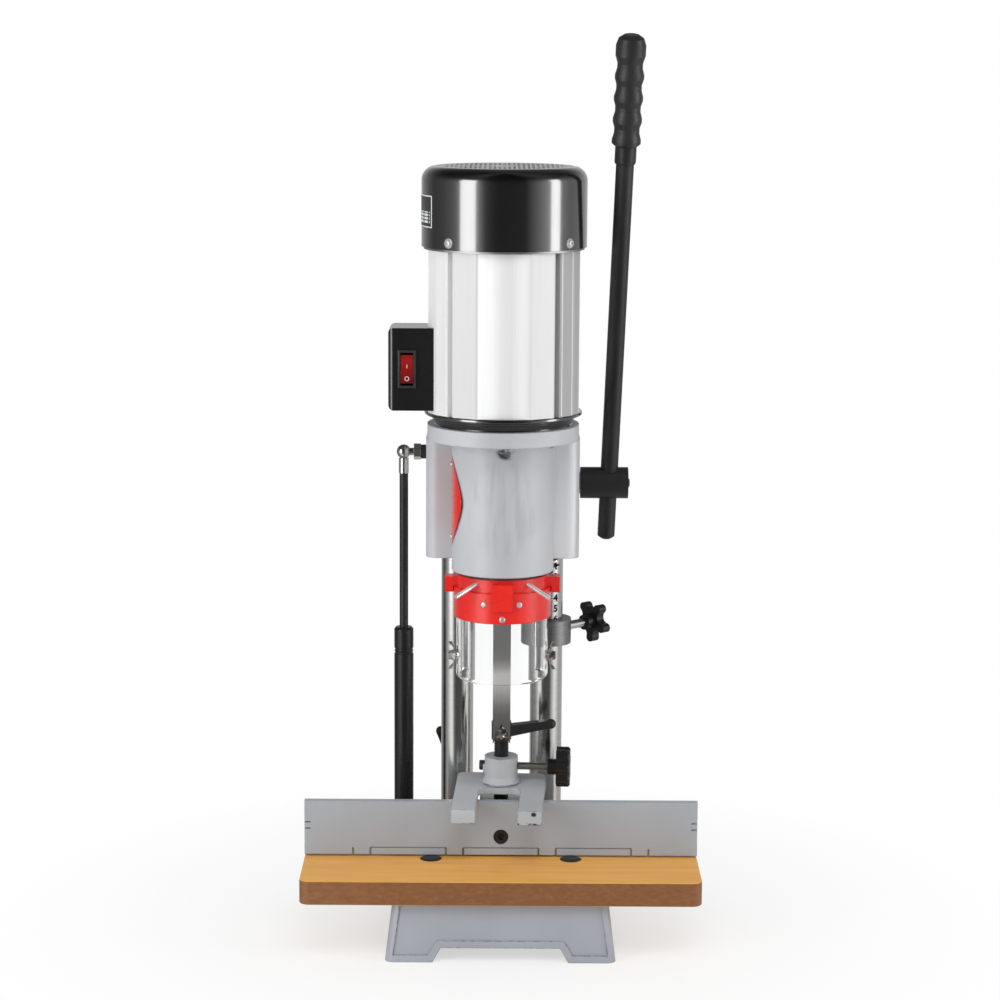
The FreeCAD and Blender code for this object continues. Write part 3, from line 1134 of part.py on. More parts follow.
make_base()
make_table()
make_table_bolts()
make_columns()
make_gas_spring()
make_head()
make_access_cover()
make_pinion_cap()
make_motor()
make_fan_cover()
make_grille()
make_spindle()
make_chisel()
make_guard()
make_switch()
make_lever()
make_depth_stop()
make_fence()
make_post()
make_hold_down()
make_clamp_levers()

doc.recompute()
for thing in doc.Objects:
    if "Invalid" in thing.State or "Error" in thing.State:
        raise RuntimeError("%s (%s) failed: %s" % (thing.Label, thing.Name, thing.State))
for piece in nodes:
    if piece.Shape.isNull() or not piece.Shape.isValid() or piece.Shape.Volume <= 0:
        raise RuntimeError("%s has no valid shape" % piece.Label)
os.makedirs("parts", exist_ok=True)
for piece in nodes:
    piece.Shape.exportStep("parts/%s.step" % piece.Label)
print("%d parts written" % len(nodes))
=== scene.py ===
import json
import math
import bmesh
import bpy
from mathutils import Matrix, Vector


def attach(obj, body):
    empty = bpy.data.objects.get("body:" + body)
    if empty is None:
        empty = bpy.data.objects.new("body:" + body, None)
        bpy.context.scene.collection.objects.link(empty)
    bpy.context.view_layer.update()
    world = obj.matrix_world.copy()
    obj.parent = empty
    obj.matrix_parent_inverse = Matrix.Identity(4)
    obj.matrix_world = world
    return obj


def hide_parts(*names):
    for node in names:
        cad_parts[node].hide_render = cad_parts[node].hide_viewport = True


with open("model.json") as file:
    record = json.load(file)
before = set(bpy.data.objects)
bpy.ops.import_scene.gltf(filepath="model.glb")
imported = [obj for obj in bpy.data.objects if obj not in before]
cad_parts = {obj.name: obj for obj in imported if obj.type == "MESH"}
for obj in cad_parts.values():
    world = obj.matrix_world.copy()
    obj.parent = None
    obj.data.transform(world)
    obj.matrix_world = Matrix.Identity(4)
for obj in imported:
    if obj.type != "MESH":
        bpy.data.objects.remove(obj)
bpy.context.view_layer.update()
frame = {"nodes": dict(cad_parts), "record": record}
nodes = frame["nodes"]

mm = 0.001
spindleY = -0.05  # the motor, the drum, the chisel and the guard share this axis
weld = 0.000001  # points closer than this become one


# Materials
def newMaterial(name):
    material = bpy.data.materials.new(name)
    material.use_nodes = True
    tree = material.node_tree
    return material, tree, tree.nodes["Principled BSDF"]


# A fixed value, or what another node gives, into a socket
def feed(tree, socket, value):
    if isinstance(value, bpy.types.NodeSocket):
        tree.links.new(value, socket)
    else:
        socket.default_value = value


# Settings come first, because some of them change the sockets
def addNode(tree, kind, inputs=None, **settings):
    node = tree.nodes.new(kind)
    for key, value in settings.items():
        setattr(node, key, value)
    for key, value in (inputs or {}).items():
        feed(tree, node.inputs[key], value)
    return node


def calculate(tree, operation, *values):
    node = addNode(tree, "ShaderNodeMath", operation=operation)
    for socket, value in zip(node.inputs, values):
        feed(tree, socket, value)
    return node.outputs["Value"]


# The result is a vector, or a value for LENGTH and DOT_PRODUCT
def calculateVector(tree, operation, *values):
    node = addNode(tree, "ShaderNodeVectorMath", operation=operation)
    for socket, value in zip(node.inputs, values):
        feed(tree, socket, value)
    return node.outputs["Value" if operation in ("LENGTH", "DOT_PRODUCT") else "Vector"]


def remap(tree, value, fromLow, fromHigh, toLow=0.0, toHigh=1.0):
    node = addNode(tree, "ShaderNodeMapRange", {"Value": value, "From Min": fromLow, "From Max": fromHigh,
                                                "To Min": toLow, "To Max": toHigh})
    return node.outputs["Result"]


def mixColour(tree, factor, first, second, way="MIX"):
    node = addNode(tree, "ShaderNodeMix", {"Factor": factor, "A": first, "B": second},
                   data_type="RGBA", blend_type=way)
    return node.outputs["Result"]


def mixShader(tree, factor, first, second):
    node = addNode(tree, "ShaderNodeMixShader", {"Fac": factor})
    tree.links.new(first, node.inputs[1])
    tree.links.new(second, node.inputs[2])
    return node.outputs["Shader"]


def splitPoint(tree, point):
    return addNode(tree, "ShaderNodeSeparateXYZ", {"Vector": point}).outputs


# Object coordinates, stretched, for the textures
def objectPoint(tree, stretch=(1, 1, 1)):
    coords = addNode(tree, "ShaderNodeTexCoord")
    mapping = addNode(tree, "ShaderNodeMapping", {"Vector": coords.outputs["Object"], "Scale": stretch})
    return mapping.outputs["Vector"]


def noise(tree, point, scale, detail=3.0, roughness=0.5):
    texture = addNode(tree, "ShaderNodeTexNoise", {"Vector": point, "Scale": scale, "Detail": detail,
                                                   "Roughness": roughness})
    return texture.outputs["Fac"]


# Each stop is a position and a colour
def ramp(tree, factor, stops):
    node = addNode(tree, "ShaderNodeValToRGB", {"Fac": factor})
    elements = node.color_ramp.elements
    while len(elements) < len(stops):
        elements.new(0.5)
    for element, (position, colour) in zip(elements, stops):
        element.position = position
        element.color = (*colour, 1)
    return node.outputs["Color"]


# The same with plain tones of grey
def greyRamp(tree, factor, stops):
    return ramp(tree, factor, [(position, (tone, tone, tone)) for position, tone in stops])


# Most of a noise lies between these two values, and it is spread out from low to high
noiseSpan = (0.3, 0.7)


def spread(tree, factor, low, high):
    return remap(tree, factor, *noiseSpan, low, high)


def twoTones(tree, factor, dark, light, span=noiseSpan):
    return ramp(tree, factor, [(span[0], dark), (span[1], light)])


# Bump from a height, over edges softened by the radius edge
def bump(tree, shader, height, strength, distance, edge=0.0):
    node = addNode(tree, "ShaderNodeBump", {"Height": height, "Strength": strength, "Distance": distance})
    if edge:
        soft = addNode(tree, "ShaderNodeBevel", {"Radius": edge}, samples=4)
        tree.links.new(soft.outputs["Normal"], node.inputs["Normal"])
    tree.links.new(node.outputs["Normal"], shader.inputs["Normal"])


# How far a wide bevel has to turn the normal for an edge, for worn edges and for painted shade along edges, and
# how noise breaks up the wear on it
edgeWearAndShade = {"flat": 0.96, "edge": 0.86, "reach": 0.0014, "grain": 210, "breaks": (0.50, 0.57),
        "bare": (0.05, 0.045, 0.04, 1)}


# 1 along edges, 0 elsewhere
def turnedEdges(tree, reach, amount=1.0):
    wide = addNode(tree, "ShaderNodeBevel", {"Radius": reach}, samples=6)
    plain = addNode(tree, "ShaderNodeNewGeometry")
    near = calculateVector(tree, "DOT_PRODUCT", wide.outputs["Normal"], plain.outputs["True Normal"])
    return remap(tree, near, edgeWearAndShade["flat"], edgeWearAndShade["edge"], 0, amount)


def wornEdges(tree, point, amount):
    grain = noise(tree, point, edgeWearAndShade["grain"], detail=4, roughness=0.6)
    breaks = remap(tree, grain, *edgeWearAndShade["breaks"])
    return calculate(tree, "MULTIPLY", turnedEdges(tree, edgeWearAndShade["reach"], amount), breaks)


# Painted metal with faint patches of tone and a fine orange-peel grain; chips darken its edges
def paint(name, light, dark, rough=(0.32, 0.45), grain=900, depth=0.12, patches=14, coat=0.0,
          edge=0.0008, chips=0.0, gloss=0.5, coatIndex=1.5):
    material, tree, shader = newMaterial(name)
    point = objectPoint(tree)
    colour = twoTones(tree, noise(tree, point, patches, detail=4, roughness=0.55), dark, light)
    if chips:
        colour = mixColour(tree, wornEdges(tree, point, chips), colour, edgeWearAndShade["bare"])
    feed(tree, shader.inputs["Base Color"], colour)
    feed(tree, shader.inputs["Roughness"], spread(tree, noise(tree, point, patches * 3), *rough))
    shader.inputs["Specular IOR Level"].default_value = gloss
    shader.inputs["Coat Weight"].default_value = coat
    shader.inputs["Coat Roughness"].default_value = 0.12
    shader.inputs["Coat IOR"].default_value = coatIndex
    bump(tree, shader, noise(tree, point, grain, detail=2), depth, distance=0.0004, edge=edge)
    return material


# Machined or plated metal; stretch gives the direction of the fine tool marks
def metal(name, light, dark, rough=(0.1, 0.22), stretch=(1, 1, 1), scale=60, depth=0.03, edge=0.0004,
          metallic=1.0):
    material, tree, shader = newMaterial(name)
    shader.inputs["Metallic"].default_value = metallic
    marks = noise(tree, objectPoint(tree, stretch), scale, detail=5, roughness=0.6)
    feed(tree, shader.inputs["Base Color"], twoTones(tree, marks, dark, light, span=(0.35, 0.65)))
    feed(tree, shader.inputs["Roughness"], spread(tree, marks, *rough))
    bump(tree, shader, marks, depth, distance=0.0002, edge=edge)
    return material


def plastic(name, light, dark, rough=(0.3, 0.45), grain=1500, depth=0.15, edge=0.0006):
    material, tree, shader = newMaterial(name)
    point = objectPoint(tree)
    feed(tree, shader.inputs["Base Color"], twoTones(tree, noise(tree, point, scale=30), dark, light))
    feed(tree, shader.inputs["Roughness"], spread(tree, noise(tree, point, scale=90), *rough))
    bump(tree, shader, noise(tree, point, grain, detail=2), depth, distance=0.0002, edge=edge)
    return material


# Clear moulded guard with faint flow lines
def clearPlastic(name):
    material, tree, shader = newMaterial(name)
    haze = noise(tree, objectPoint(tree, (1, 1, 0.2)), scale=35)
    feed(tree, shader.inputs["Base Color"], twoTones(tree, haze, (0.93, 0.94, 0.95), (1, 1, 1)))
    feed(tree, shader.inputs["Roughness"], spread(tree, haze, low=0.01, high=0.05))
    shader.inputs["Transmission Weight"].default_value = 1.0
    shader.inputs["IOR"].default_value = 1.46
    bump(tree, shader, haze, strength=0.05, distance=0.0004)
    return material


board = {"figure": (0.9, 14, 6), "pores": (3, 90, 40), "fibre": (1, 1, 2.5), "poreDepth": 0.55,
         "veneerTones": [(0.25, (0.77, 0.36, 0.067)), (0.5, (0.86, 0.43, 0.087)), (0.75, (0.93, 0.49, 0.113))],
         "poreTones": [(0.35, (0.80, 0.78, 0.74)), (0.6, (1, 1, 1))],
         "edgeTones": [(0.3, (0.20, 0.080, 0.025)), (0.62, (0.26, 0.105, 0.036)), (0.8, (0.33, 0.15, 0.062))],
         "upright": 0.45, "level": 0.75}


# Faced board: warm veneer above and below, brown fibre with lighter flecks on the edge
def boardMaterial(name):
    material, tree, shader = newMaterial(name)
    figure = noise(tree, objectPoint(tree, board["figure"]), scale=9, detail=6, roughness=0.6)
    pores = noise(tree, objectPoint(tree, board["pores"]), scale=8, detail=4, roughness=0.6)
    fibre = noise(tree, objectPoint(tree, board["fibre"]), scale=160, detail=4, roughness=0.7)
    veneer = mixColour(tree, board["poreDepth"], ramp(tree, figure, board["veneerTones"]),
                       ramp(tree, pores, board["poreTones"]), "MULTIPLY")
    normal = addNode(tree, "ShaderNodeNewGeometry").outputs["True Normal"]
    facing = remap(tree, calculate(tree, "ABSOLUTE", splitPoint(tree, normal)["Z"]), board["upright"],
                   board["level"])
    colour = mixColour(tree, facing, ramp(tree, fibre, board["edgeTones"]), veneer)
    feed(tree, shader.inputs["Base Color"], colour)
    feed(tree, shader.inputs["Roughness"], spread(tree, pores, low=0.3, high=0.45))
    bump(tree, shader, pores, strength=0.08, distance=0.0004, edge=0.0006)
    return material


# Puts what is made between the base colour of a finished look and its shader
def recolour(look, make):
    tree = look.node_tree
    socket = tree.nodes["Principled BSDF"].inputs["Base Color"]
    tree.links.new(make(tree, socket.links[0].from_socket), socket)


# Bearing in radians round an upright axis at x 0: 0 towards the user, positive to the right
def bearingRound(tree, parts, axisY):
    front = calculate(tree, "SUBTRACT", axisY, parts["Y"])
    return calculate(tree, "ARCTAN2", parts["X"], front)


# Paints light and shade into the colour: multiplies it by a tone that follows the bearing in degrees, or the
# height in metres
def shadeBy(look, measure, start, end, stops):
    def make(tree, before):
        parts = splitPoint(tree, objectPoint(tree))
        value = parts["Z"]
        if measure == "bearing":
            value = calculate(tree, "DEGREES", bearingRound(tree, parts, spindleY))
        tones = [((at - start) / (end - start), tone) for at, tone in stops]
        grey = greyRamp(tree, remap(tree, value, start, end), tones)
        return mixColour(tree, 1, before, grey, "MULTIPLY")
    recolour(look, make)


markBreaks = (0.46, 0.6)  # where noise breaks up a mark


# A mark inside an ellipsoid: all of it, or only its edges, or broken up by noise
def markAt(look, mark):
    def make(tree, before):
        away = calculateVector(tree, "SUBTRACT", objectPoint(tree), mark["centre"])
        length = calculateVector(tree, "LENGTH", calculateVector(tree, "DIVIDE", away, mark["reach"]))
        factor = remap(tree, length, 1.0, mark["solid"], 0, mark["amount"])
        if "grain" in mark:
            grain = noise(tree, objectPoint(tree, mark["stretch"]), mark["grain"], detail=4, roughness=0.6)
            factor = calculate(tree, "MULTIPLY", factor, remap(tree, grain, *markBreaks))
        if "edge" in mark:
            factor = calculate(tree, "MULTIPLY", factor, turnedEdges(tree, mark["edge"]))
        return mixColour(tree, factor, before, (*mark["colour"], 1))
    recolour(look, make)


upright = (60, 60, 1)  # tool marks along an upright rod
sideways = (1, 60, 60)  # along one that lies from side to side
turned = (2, 2, 90)  # round an upright rod
# each finish has its light tone, its dark tone and the range of its roughness
looks = {
    "base_paint": paint("baseGrey", (0.36, 0.375, 0.42), (0.325, 0.34, 0.382), (0.3, 0.42), edge=0.0012,
                        chips=0.7),
    "head_paint": paint("headGrey", (0.51, 0.52, 0.54), (0.46, 0.47, 0.49), (0.34, 0.46), patches=22,
                        edge=0.0015),
    "fence_paint": paint("fenceGrey", (0.365, 0.395, 0.43), (0.34, 0.37, 0.405), (0.34, 0.42), edge=0.0004),
    "holder_iron": paint("holderGrey", (0.44, 0.46, 0.48), (0.37, 0.385, 0.40), (0.42, 0.55), depth=0.3,
                         edge=0.0012, chips=0.8),
    "wood_board": boardMaterial("veneeredBoard"),
    "chrome": metal("chrome", (0.76, 0.755, 0.74), (0.64, 0.635, 0.62), (0.14, 0.22), turned, scale=20),
    "steel": metal("steel", (0.58, 0.57, 0.55), (0.42, 0.41, 0.40), (0.22, 0.38), upright, scale=30),
    "stop_steel": metal("darkSteel", (0.33, 0.33, 0.33), (0.22, 0.22, 0.22), (0.35, 0.5), turned, scale=20),
    "black_steel": paint("blackOxide", (0.020, 0.020, 0.021), (0.012, 0.012, 0.013), (0.38, 0.5), grain=1400),
    "motor_aluminium": metal("extrudedAluminium", (0.82, 0.82, 0.825), (0.79, 0.79, 0.795), (0.4, 0.46),
                             upright, scale=12, depth=0.006, edge=0.0003, metallic=0.12),
    "black_gloss": paint("glossBlack", (0.003, 0.003, 0.0035), (0.002, 0.002, 0.0025), (0.17, 0.21),
                         grain=600, depth=0.03, coat=1.0, gloss=0.9, coatIndex=2.0),
    "plate_aluminium": metal("castAluminium", (0.55, 0.55, 0.55), (0.42, 0.42, 0.42), (0.4, 0.55)),
    "grille_metal": metal("grilleMetal", (0.72, 0.72, 0.72), (0.6, 0.6, 0.6), (0.4, 0.5), metallic=0.4),
    "black_plastic": plastic("blackPlastic", (0.012, 0.012, 0.013), (0.008, 0.008, 0.009), (0.3, 0.4)),
    "red_plastic": plastic("redRocker", (0.30, 0.006, 0.006), (0.25, 0.005, 0.005), (0.2, 0.28)),
    "red_paint": paint("redPaint", (0.80, 0.014, 0.008), (0.70, 0.010, 0.006), (0.22, 0.32), coat=0.6),
    "clear_plastic": clearPlastic("clearGuard"),
    "gasket_rubber": plastic("gasketRubber", (0.03, 0.02, 0.02), (0.015, 0.012, 0.012), (0.6, 0.8)),
    "grip_rubber": plastic("gripRubber", (0.024, 0.024, 0.025), (0.015, 0.015, 0.016), (0.36, 0.5)),
    "tube_paint": paint("tubeBlack", (0.014, 0.014, 0.015), (0.009, 0.009, 0.01), (0.25, 0.33)),
    "bronze": metal("bronze", (0.55, 0.36, 0.16), (0.42, 0.26, 0.1), (0.25, 0.4)),
    "winding": metal("laminations", (0.35, 0.24, 0.18), (0.22, 0.14, 0.1), (0.4, 0.6), stretch=(1, 1, 90)),
}
for part in frame["record"]["subparts"]:
    target = nodes[part["node"]]
    target.data.materials.clear()
    target.data.materials.append(looks[part["material_slot"]])

# finishes for single pieces
brightZinc = metal("brightZinc", (0.86, 0.86, 0.85), (0.68, 0.68, 0.67), (0.22, 0.34), metallic=0.7)
wingZinc = metal("wingZinc", (0.92, 0.92, 0.91), (0.16, 0.155, 0.15), (0.16, 0.3), scale=230, metallic=0.8)
toolSteel = metal("toolSteel", (0.92, 0.90, 0.88), (0.84, 0.82, 0.80), (0.3, 0.36), upright, scale=9,
                  depth=0.006, metallic=0.15)
switchShell = paint("switchShell", (0.010, 0.010, 0.011), (0.007, 0.007, 0.008), (0.2, 0.28), grain=1500,
                    coat=0.7, edge=0.0014)
ownLooks = {"switch_box": switchShell, "mortise_chisel": toolSteel, "guard_pins": brightZinc,
            "wing_nut_left": wingZinc, "wing_nut_right": wingZinc}
for node, look in ownLooks.items():
    nodes[node].data.materials[0] = look

# painted light and shade: the chisel is painted palest at the height of the guard's foot and shaded above and
# below it, the rocker is painted lit in its upper half and shaded below
chiselPaintedLight = [(0.203, 0.11), (0.214, 0.14), (0.223, 0.22), (0.237, 0.45), (0.246, 0.60), (0.252, 0.60),
               (0.258, 0.32), (0.266, 0.15), (0.280, 0.13), (0.292, 0.17), (0.310, 0.20)]
rockerPaintedLight = [(0.517, 0.45), (0.528, 0.75), (0.538, 1.1), (0.545, 0.7)]
shadeBy(toolSteel, "height", 0.18, 0.38, chiselPaintedLight)
shadeBy(looks["red_plastic"], "height", 0.51, 0.55, rockerPaintedLight)
# painted light and shade: each flat of the motor case is painted lighter or darker for how the light falls on
# it, with a painted shade line near 40 degrees; the middle of the drum gets painted shade and is the darkest
motorPaintedLight = [(-180, 0.85), (-82, 0.85), (-80, 1.05), (-50, 0.98), (-41, 0.90), (-40, 0.70), (-19.5, 0.69),
              (-18.5, 1.16), (-9, 1.13), (-2, 0.93), (5, 0.87), (13, 1.02), (17.5, 0.98), (19, 0.85),
              (38.4, 0.88), (39, 0.36), (40.4, 0.36), (41, 0.48), (57, 0.48), (59, 0.66), (62, 0.50),
              (76, 0.50), (82, 0.85), (180, 0.85)]
drumPaintedShade = [(-45, 1.0), (-22, 0.95), (-4, 0.84), (4, 0.84), (22, 0.95), (45, 1.0)]
shadeBy(looks["motor_aluminium"], "bearing", -180, 180, motorPaintedLight)
shadeBy(looks["head_paint"], "bearing", -180, 180, drumPaintedShade)

# Marks of use and casting, with painted light and shade among them, in metres
marks = {
    "head_paint": [
        # a pit at the top of the drum, faint streaks below it, a painted shadow in the gap round the access
        # window
        {"centre": (0.0025, -0.097, 0.458), "reach": (0.0095, 0.03, 0.0065), "solid": 0.6, "amount": 1.0,
         "colour": (0.035, 0.035, 0.04), "grain": 130, "stretch": (1, 1, 1.6)},
        {"centre": (0, -0.1, 0.41), "reach": (0.042, 0.03, 0.048), "solid": 0.8, "amount": 0.32,
         "colour": (0.26, 0.26, 0.27), "grain": 14, "stretch": (9, 9, 1)},
        {"centre": (-0.038, -0.07, 0.4105), "reach": (0.016, 0.06, 0.050), "solid": 0.9, "amount": 1.0,
         "colour": (0.012, 0.010, 0.010), "edge": 0.005},
        # a painted highlight that lightens the front of the right wing, painted shadow in the gaps below the
        # flange
        {"centre": (0.0575, -0.028, 0.41), "reach": (0.022, 0.004, 0.12), "solid": 0.6, "amount": 0.85,
         "colour": (0.76, 0.77, 0.79)},
        {"centre": (-0.0505, -0.05, 0.4597), "reach": (0.008, 0.06, 0.0017), "solid": 0.5, "amount": 0.85,
         "colour": (0.05, 0.05, 0.052)},
        {"centre": (0.0475, -0.05, 0.4597), "reach": (0.008, 0.06, 0.0017), "solid": 0.5, "amount": 0.85,
         "colour": (0.05, 0.05, 0.052)}],
    "holder_iron": [
        # a pit in the right prong, chips along the lower edges of both
        {"centre": (0.0294, -0.0765, 0.1265), "reach": (0.0030, 0.006, 0.0025), "solid": 0.6, "amount": 1.0,
         "colour": (0.02, 0.019, 0.018)},
        {"centre": (0, -0.0776, 0.1166), "reach": (0.3, 0.006, 0.0022), "solid": 0.5, "amount": 1.0,
         "colour": (0.03, 0.028, 0.026), "grain": 260, "stretch": (1, 1, 1)}],
    "fence_paint": [
        # painted shade along the edges where the fence is slit, near its foot
        {"centre": (0, -0.034, 0.0795), "reach": (1.2, 0.02, 0.009), "solid": 0.9, "amount": 0.9,
         "colour": (0.02, 0.02, 0.02), "edge": 0.0011}]}
for slot, places in marks.items():
    for mark in places:
        markAt(looks[slot], mark)
print("materials set")


# Mesh helpers: every maker works in a bmesh of its own at the origin and is then placed
def placeAt(start, way):
    turn = Vector(way).to_track_quat("Z", "Y").to_matrix().to_4x4()
    return Matrix.Translation(start) @ turn


def newVerts(made):
    return [item for item in made["geom"] if isinstance(item, bmesh.types.BMVert)]


# Each edge once and always in the same order
def edgesOf(verts):
    return list(dict.fromkeys(edge for vert in verts for edge in vert.link_edges))


# How far out a ring reaches at a turn: round, hex for a key socket or cross for a driver slot
crossSlot = {"arm": 0.15, "waist": 0.42}
ringForm = {
    "round": lambda turn: 1.0,
    "hex": lambda turn: math.cos(math.pi / 6) / math.cos(turn % (math.pi / 3) - math.pi / 6),
    "cross": lambda turn: (1.0 if abs((turn + math.pi / 4) % (math.pi / 2) - math.pi / 4) < crossSlot["arm"]
                           else crossSlot["waist"])}


# A solid of rings, one at each (radius, height, form)
def addRings(bm, rings, place, segments=24):
    verts = bmesh.ops.create_circle(bm, cap_ends=True, radius=1.0, segments=segments)["verts"]
    loop = edgesOf(verts)
    made = list(verts)
    for index, (radius, height, *form) in enumerate(rings):
        reachAt = ringForm[form[0] if form else "round"]
        if index:
            grown = bmesh.ops.extrude_edge_only(bm, edges=loop)
            verts = newVerts(grown)
            loop = [item for item in grown["geom"] if isinstance(item, bmesh.types.BMEdge)]
            made += verts
        for vert in verts:
            turn = math.atan2(vert.co.y, vert.co.x)
            reach = radius * reachAt(turn) * mm
            vert.co = (math.cos(turn) * reach, math.sin(turn) * reach, height * mm)
    bmesh.ops.edgeloop_fill(bm, edges=loop)
    bmesh.ops.transform(bm, matrix=place, verts=made)


# Edges turning more than sharp degrees stay crisp
def finishPiece(name, bm, look, body, slot, *replaced, sharp=35, tidy=True):
    if tidy:
        bmesh.ops.remove_doubles(bm, verts=bm.verts, dist=weld)
        bmesh.ops.recalc_face_normals(bm, faces=bm.faces)
    for face in bm.faces:
        face.smooth = True
    for edge in bm.edges:
        edge.smooth = len(edge.link_faces) == 2 and edge.calc_face_angle(0) < math.radians(sharp)
    mesh = bpy.data.meshes.new(name)
    bm.to_mesh(mesh)
    bm.free()
    piece = bpy.data.objects.new(name, mesh)
    bpy.context.scene.collection.objects.link(piece)
    for material in look if isinstance(look, (list, tuple)) else [look]:
        mesh.materials.append(material)
    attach(piece, body)
    if replaced:
        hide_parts(*replaced)


# One tooth of a thread, as shares of its pitch from root to root
threadForm = {"rootEnd": 0.06, "crestStart": 0.42, "crestEnd": 0.58, "rootStart": 0.94}


# Threaded rods: one edge of the thread, swept up by a pitch in each full turn, then trimmed and closed
def threadedRod(rod, place):
    bm = bmesh.new()
    root, crest = rod["radius"] - rod["depth"], rod["radius"]
    tooth = ((root, "rootEnd"), (crest, "crestStart"), (crest, "crestEnd"), (root, "rootStart"))
    profile = []
    for turn in range(int(rod["length"] / rod["pitch"]) + 3):
        foot = (turn - 1) * rod["pitch"]
        for radius, share in tooth:
            profile.append(bm.verts.new((radius * mm, 0, (foot + threadForm[share] * rod["pitch"]) * mm)))
    edges = [bm.edges.new(pair) for pair in zip(profile, profile[1:])]
    bmesh.ops.spin(bm, geom=profile + edges, cent=(0, 0, 0), axis=(0, 0, 1), angle=math.tau,
                   steps=rod["steps"], dvec=(0, 0, rod["pitch"] / rod["steps"] * mm), use_merge=False,
                   use_duplicate=False)
    bmesh.ops.remove_doubles(bm, verts=bm.verts, dist=weld)
    for height, way in ((0, 1), (rod["length"], -1)):
        cut = bmesh.ops.bisect_plane(bm, geom=bm.verts[:] + bm.edges[:] + bm.faces[:], dist=weld / 10,
                                     plane_co=(0, 0, height * mm), plane_no=(0, 0, -way), clear_outer=True)
        rim = [item for item in cut["geom_cut"] if isinstance(item, bmesh.types.BMEdge)]
        bmesh.ops.holes_fill(bm, edges=[edge for edge in rim if edge.is_boundary], sides=0)
    bmesh.ops.transform(bm, matrix=place, verts=bm.verts)
    return bm


# The hold-down's black post, and the stud of its clamp, which points to the right and is turned by the yaw
holdDown = {"yaw": -3.8, "post": (0, -10, 81), "studHeight": 154, "studStart": 7.2}
yaw = math.radians(holdDown["yaw"])
across = Vector((math.cos(yaw), math.sin(yaw), 0))
postFoot = Vector(holdDown["post"]) * mm
studFoot = Vector((0, holdDown["post"][1], holdDown["studHeight"])) * mm
postThread = {"radius": 6.75, "depth": 0.85, "pitch": 2.0, "length": 119.0, "steps": 24}
studThread = {"radius": 3.7, "depth": 0.55, "pitch": 1.25, "length": 35.8, "steps": 20}
greyZinc = metal("greyZinc", (0.46, 0.45, 0.42), (0.28, 0.27, 0.25), (0.32, 0.46), sideways, scale=30)
finishPiece("threadedPost", threadedRod(postThread, Matrix.Translation(postFoot)), looks["black_steel"],
            "fence", "black_steel", "hold_down_post")
studPlace = placeAt(studFoot + across * holdDown["studStart"] * mm, across)
finishPiece("threadedStud", threadedRod(studThread, studPlace), greyZinc, "hold_down_clamp", "steel",
            "hold_down_stud")
# a set screw closes the bore on the left of the hub
setScrew = {"rings": [(4.6, 15), (4.6, 19.4), (4.1, 20.2), (2.6, 20.2), (2.4, 20.2, "hex"), (2.4, 18.4, "hex")]}
stub = bmesh.new()
addRings(stub, setScrew["rings"], placeAt(studFoot, -across))
finishPiece("hubSetScrew", stub, looks["black_steel"], "hold_down", "black_steel")
print("threads made")


# Screws: dome heads with a key socket on the fan cover, small crossed heads on the guard and access cover
fanScrew = {"turns": (-41, 50.5, 139, 229), "height": 642, "reach": 72.8,
            "rings": [(2.4, -9), (2.4, -0.4), (4.4, -0.4), (4.4, 0.7), (4.1, 0.95), (3.5, 0.95), (3.5, 1.6),
                      (3.1, 2.4), (2.3, 2.85), (1.75, 2.9), (1.55, 2.9, "hex"), (1.5, 1.5, "hex")]}
bolts = bmesh.new()
for turn in fanScrew["turns"]:
    out = Vector((math.sin(math.radians(turn)), -math.cos(math.radians(turn)), 0))
    start = Vector((0, spindleY, fanScrew["height"] * mm)) + out * fanScrew["reach"] * mm
    addRings(bolts, fanScrew["rings"], placeAt(start, out))
finishPiece("coverScrews", bolts, brightZinc, "head", "steel", "cover_screws")

guardScrew = {"across": ((-16.3, 322.5), (15, 322.5), (0, 309.5)), "radius": 43.9, "lid": (376.5, 441.5),
              "lidFace": -45.6,
              "rings": [(1.5, -5), (1.5, 0), (2.8, 0), (2.75, 0.5), (2.2, 1.2), (1.5, 1.45),
                        (1.35, 1.45, "cross"), (1.2, 0.7, "cross")]}
nutStud = {"radius": 2, "start": 38.0, "length": 10.8, "height": 267.6, "chamfer": 0.5}
small = bmesh.new()
for side, height in guardScrew["across"]:
    out = Vector((side, -math.sqrt(guardScrew["radius"] ** 2 - side ** 2), 0)).normalized()
    start = Vector((0, spindleY, height * mm)) + out * guardScrew["radius"] * mm
    addRings(small, guardScrew["rings"], placeAt(start, out))
for height in guardScrew["lid"]:
    start = (guardScrew["lidFace"] * mm, spindleY, height * mm)
    addRings(small, guardScrew["rings"], placeAt(start, (-1, 0, 0)))
for side in (-1, 1):
    shoulder = nutStud["length"] - nutStud["chamfer"]
    rings = [(nutStud["radius"], 0), (nutStud["radius"], shoulder),
             (nutStud["radius"] - nutStud["chamfer"], nutStud["length"])]
    start = (side * nutStud["start"] * mm, spindleY, nutStud["height"] * mm)
    addRings(small, rings, placeAt(start, (side, 0, 0)))
finishPiece("smallScrews", small, brightZinc, "head", "steel", "small_screws")
print("screws made")


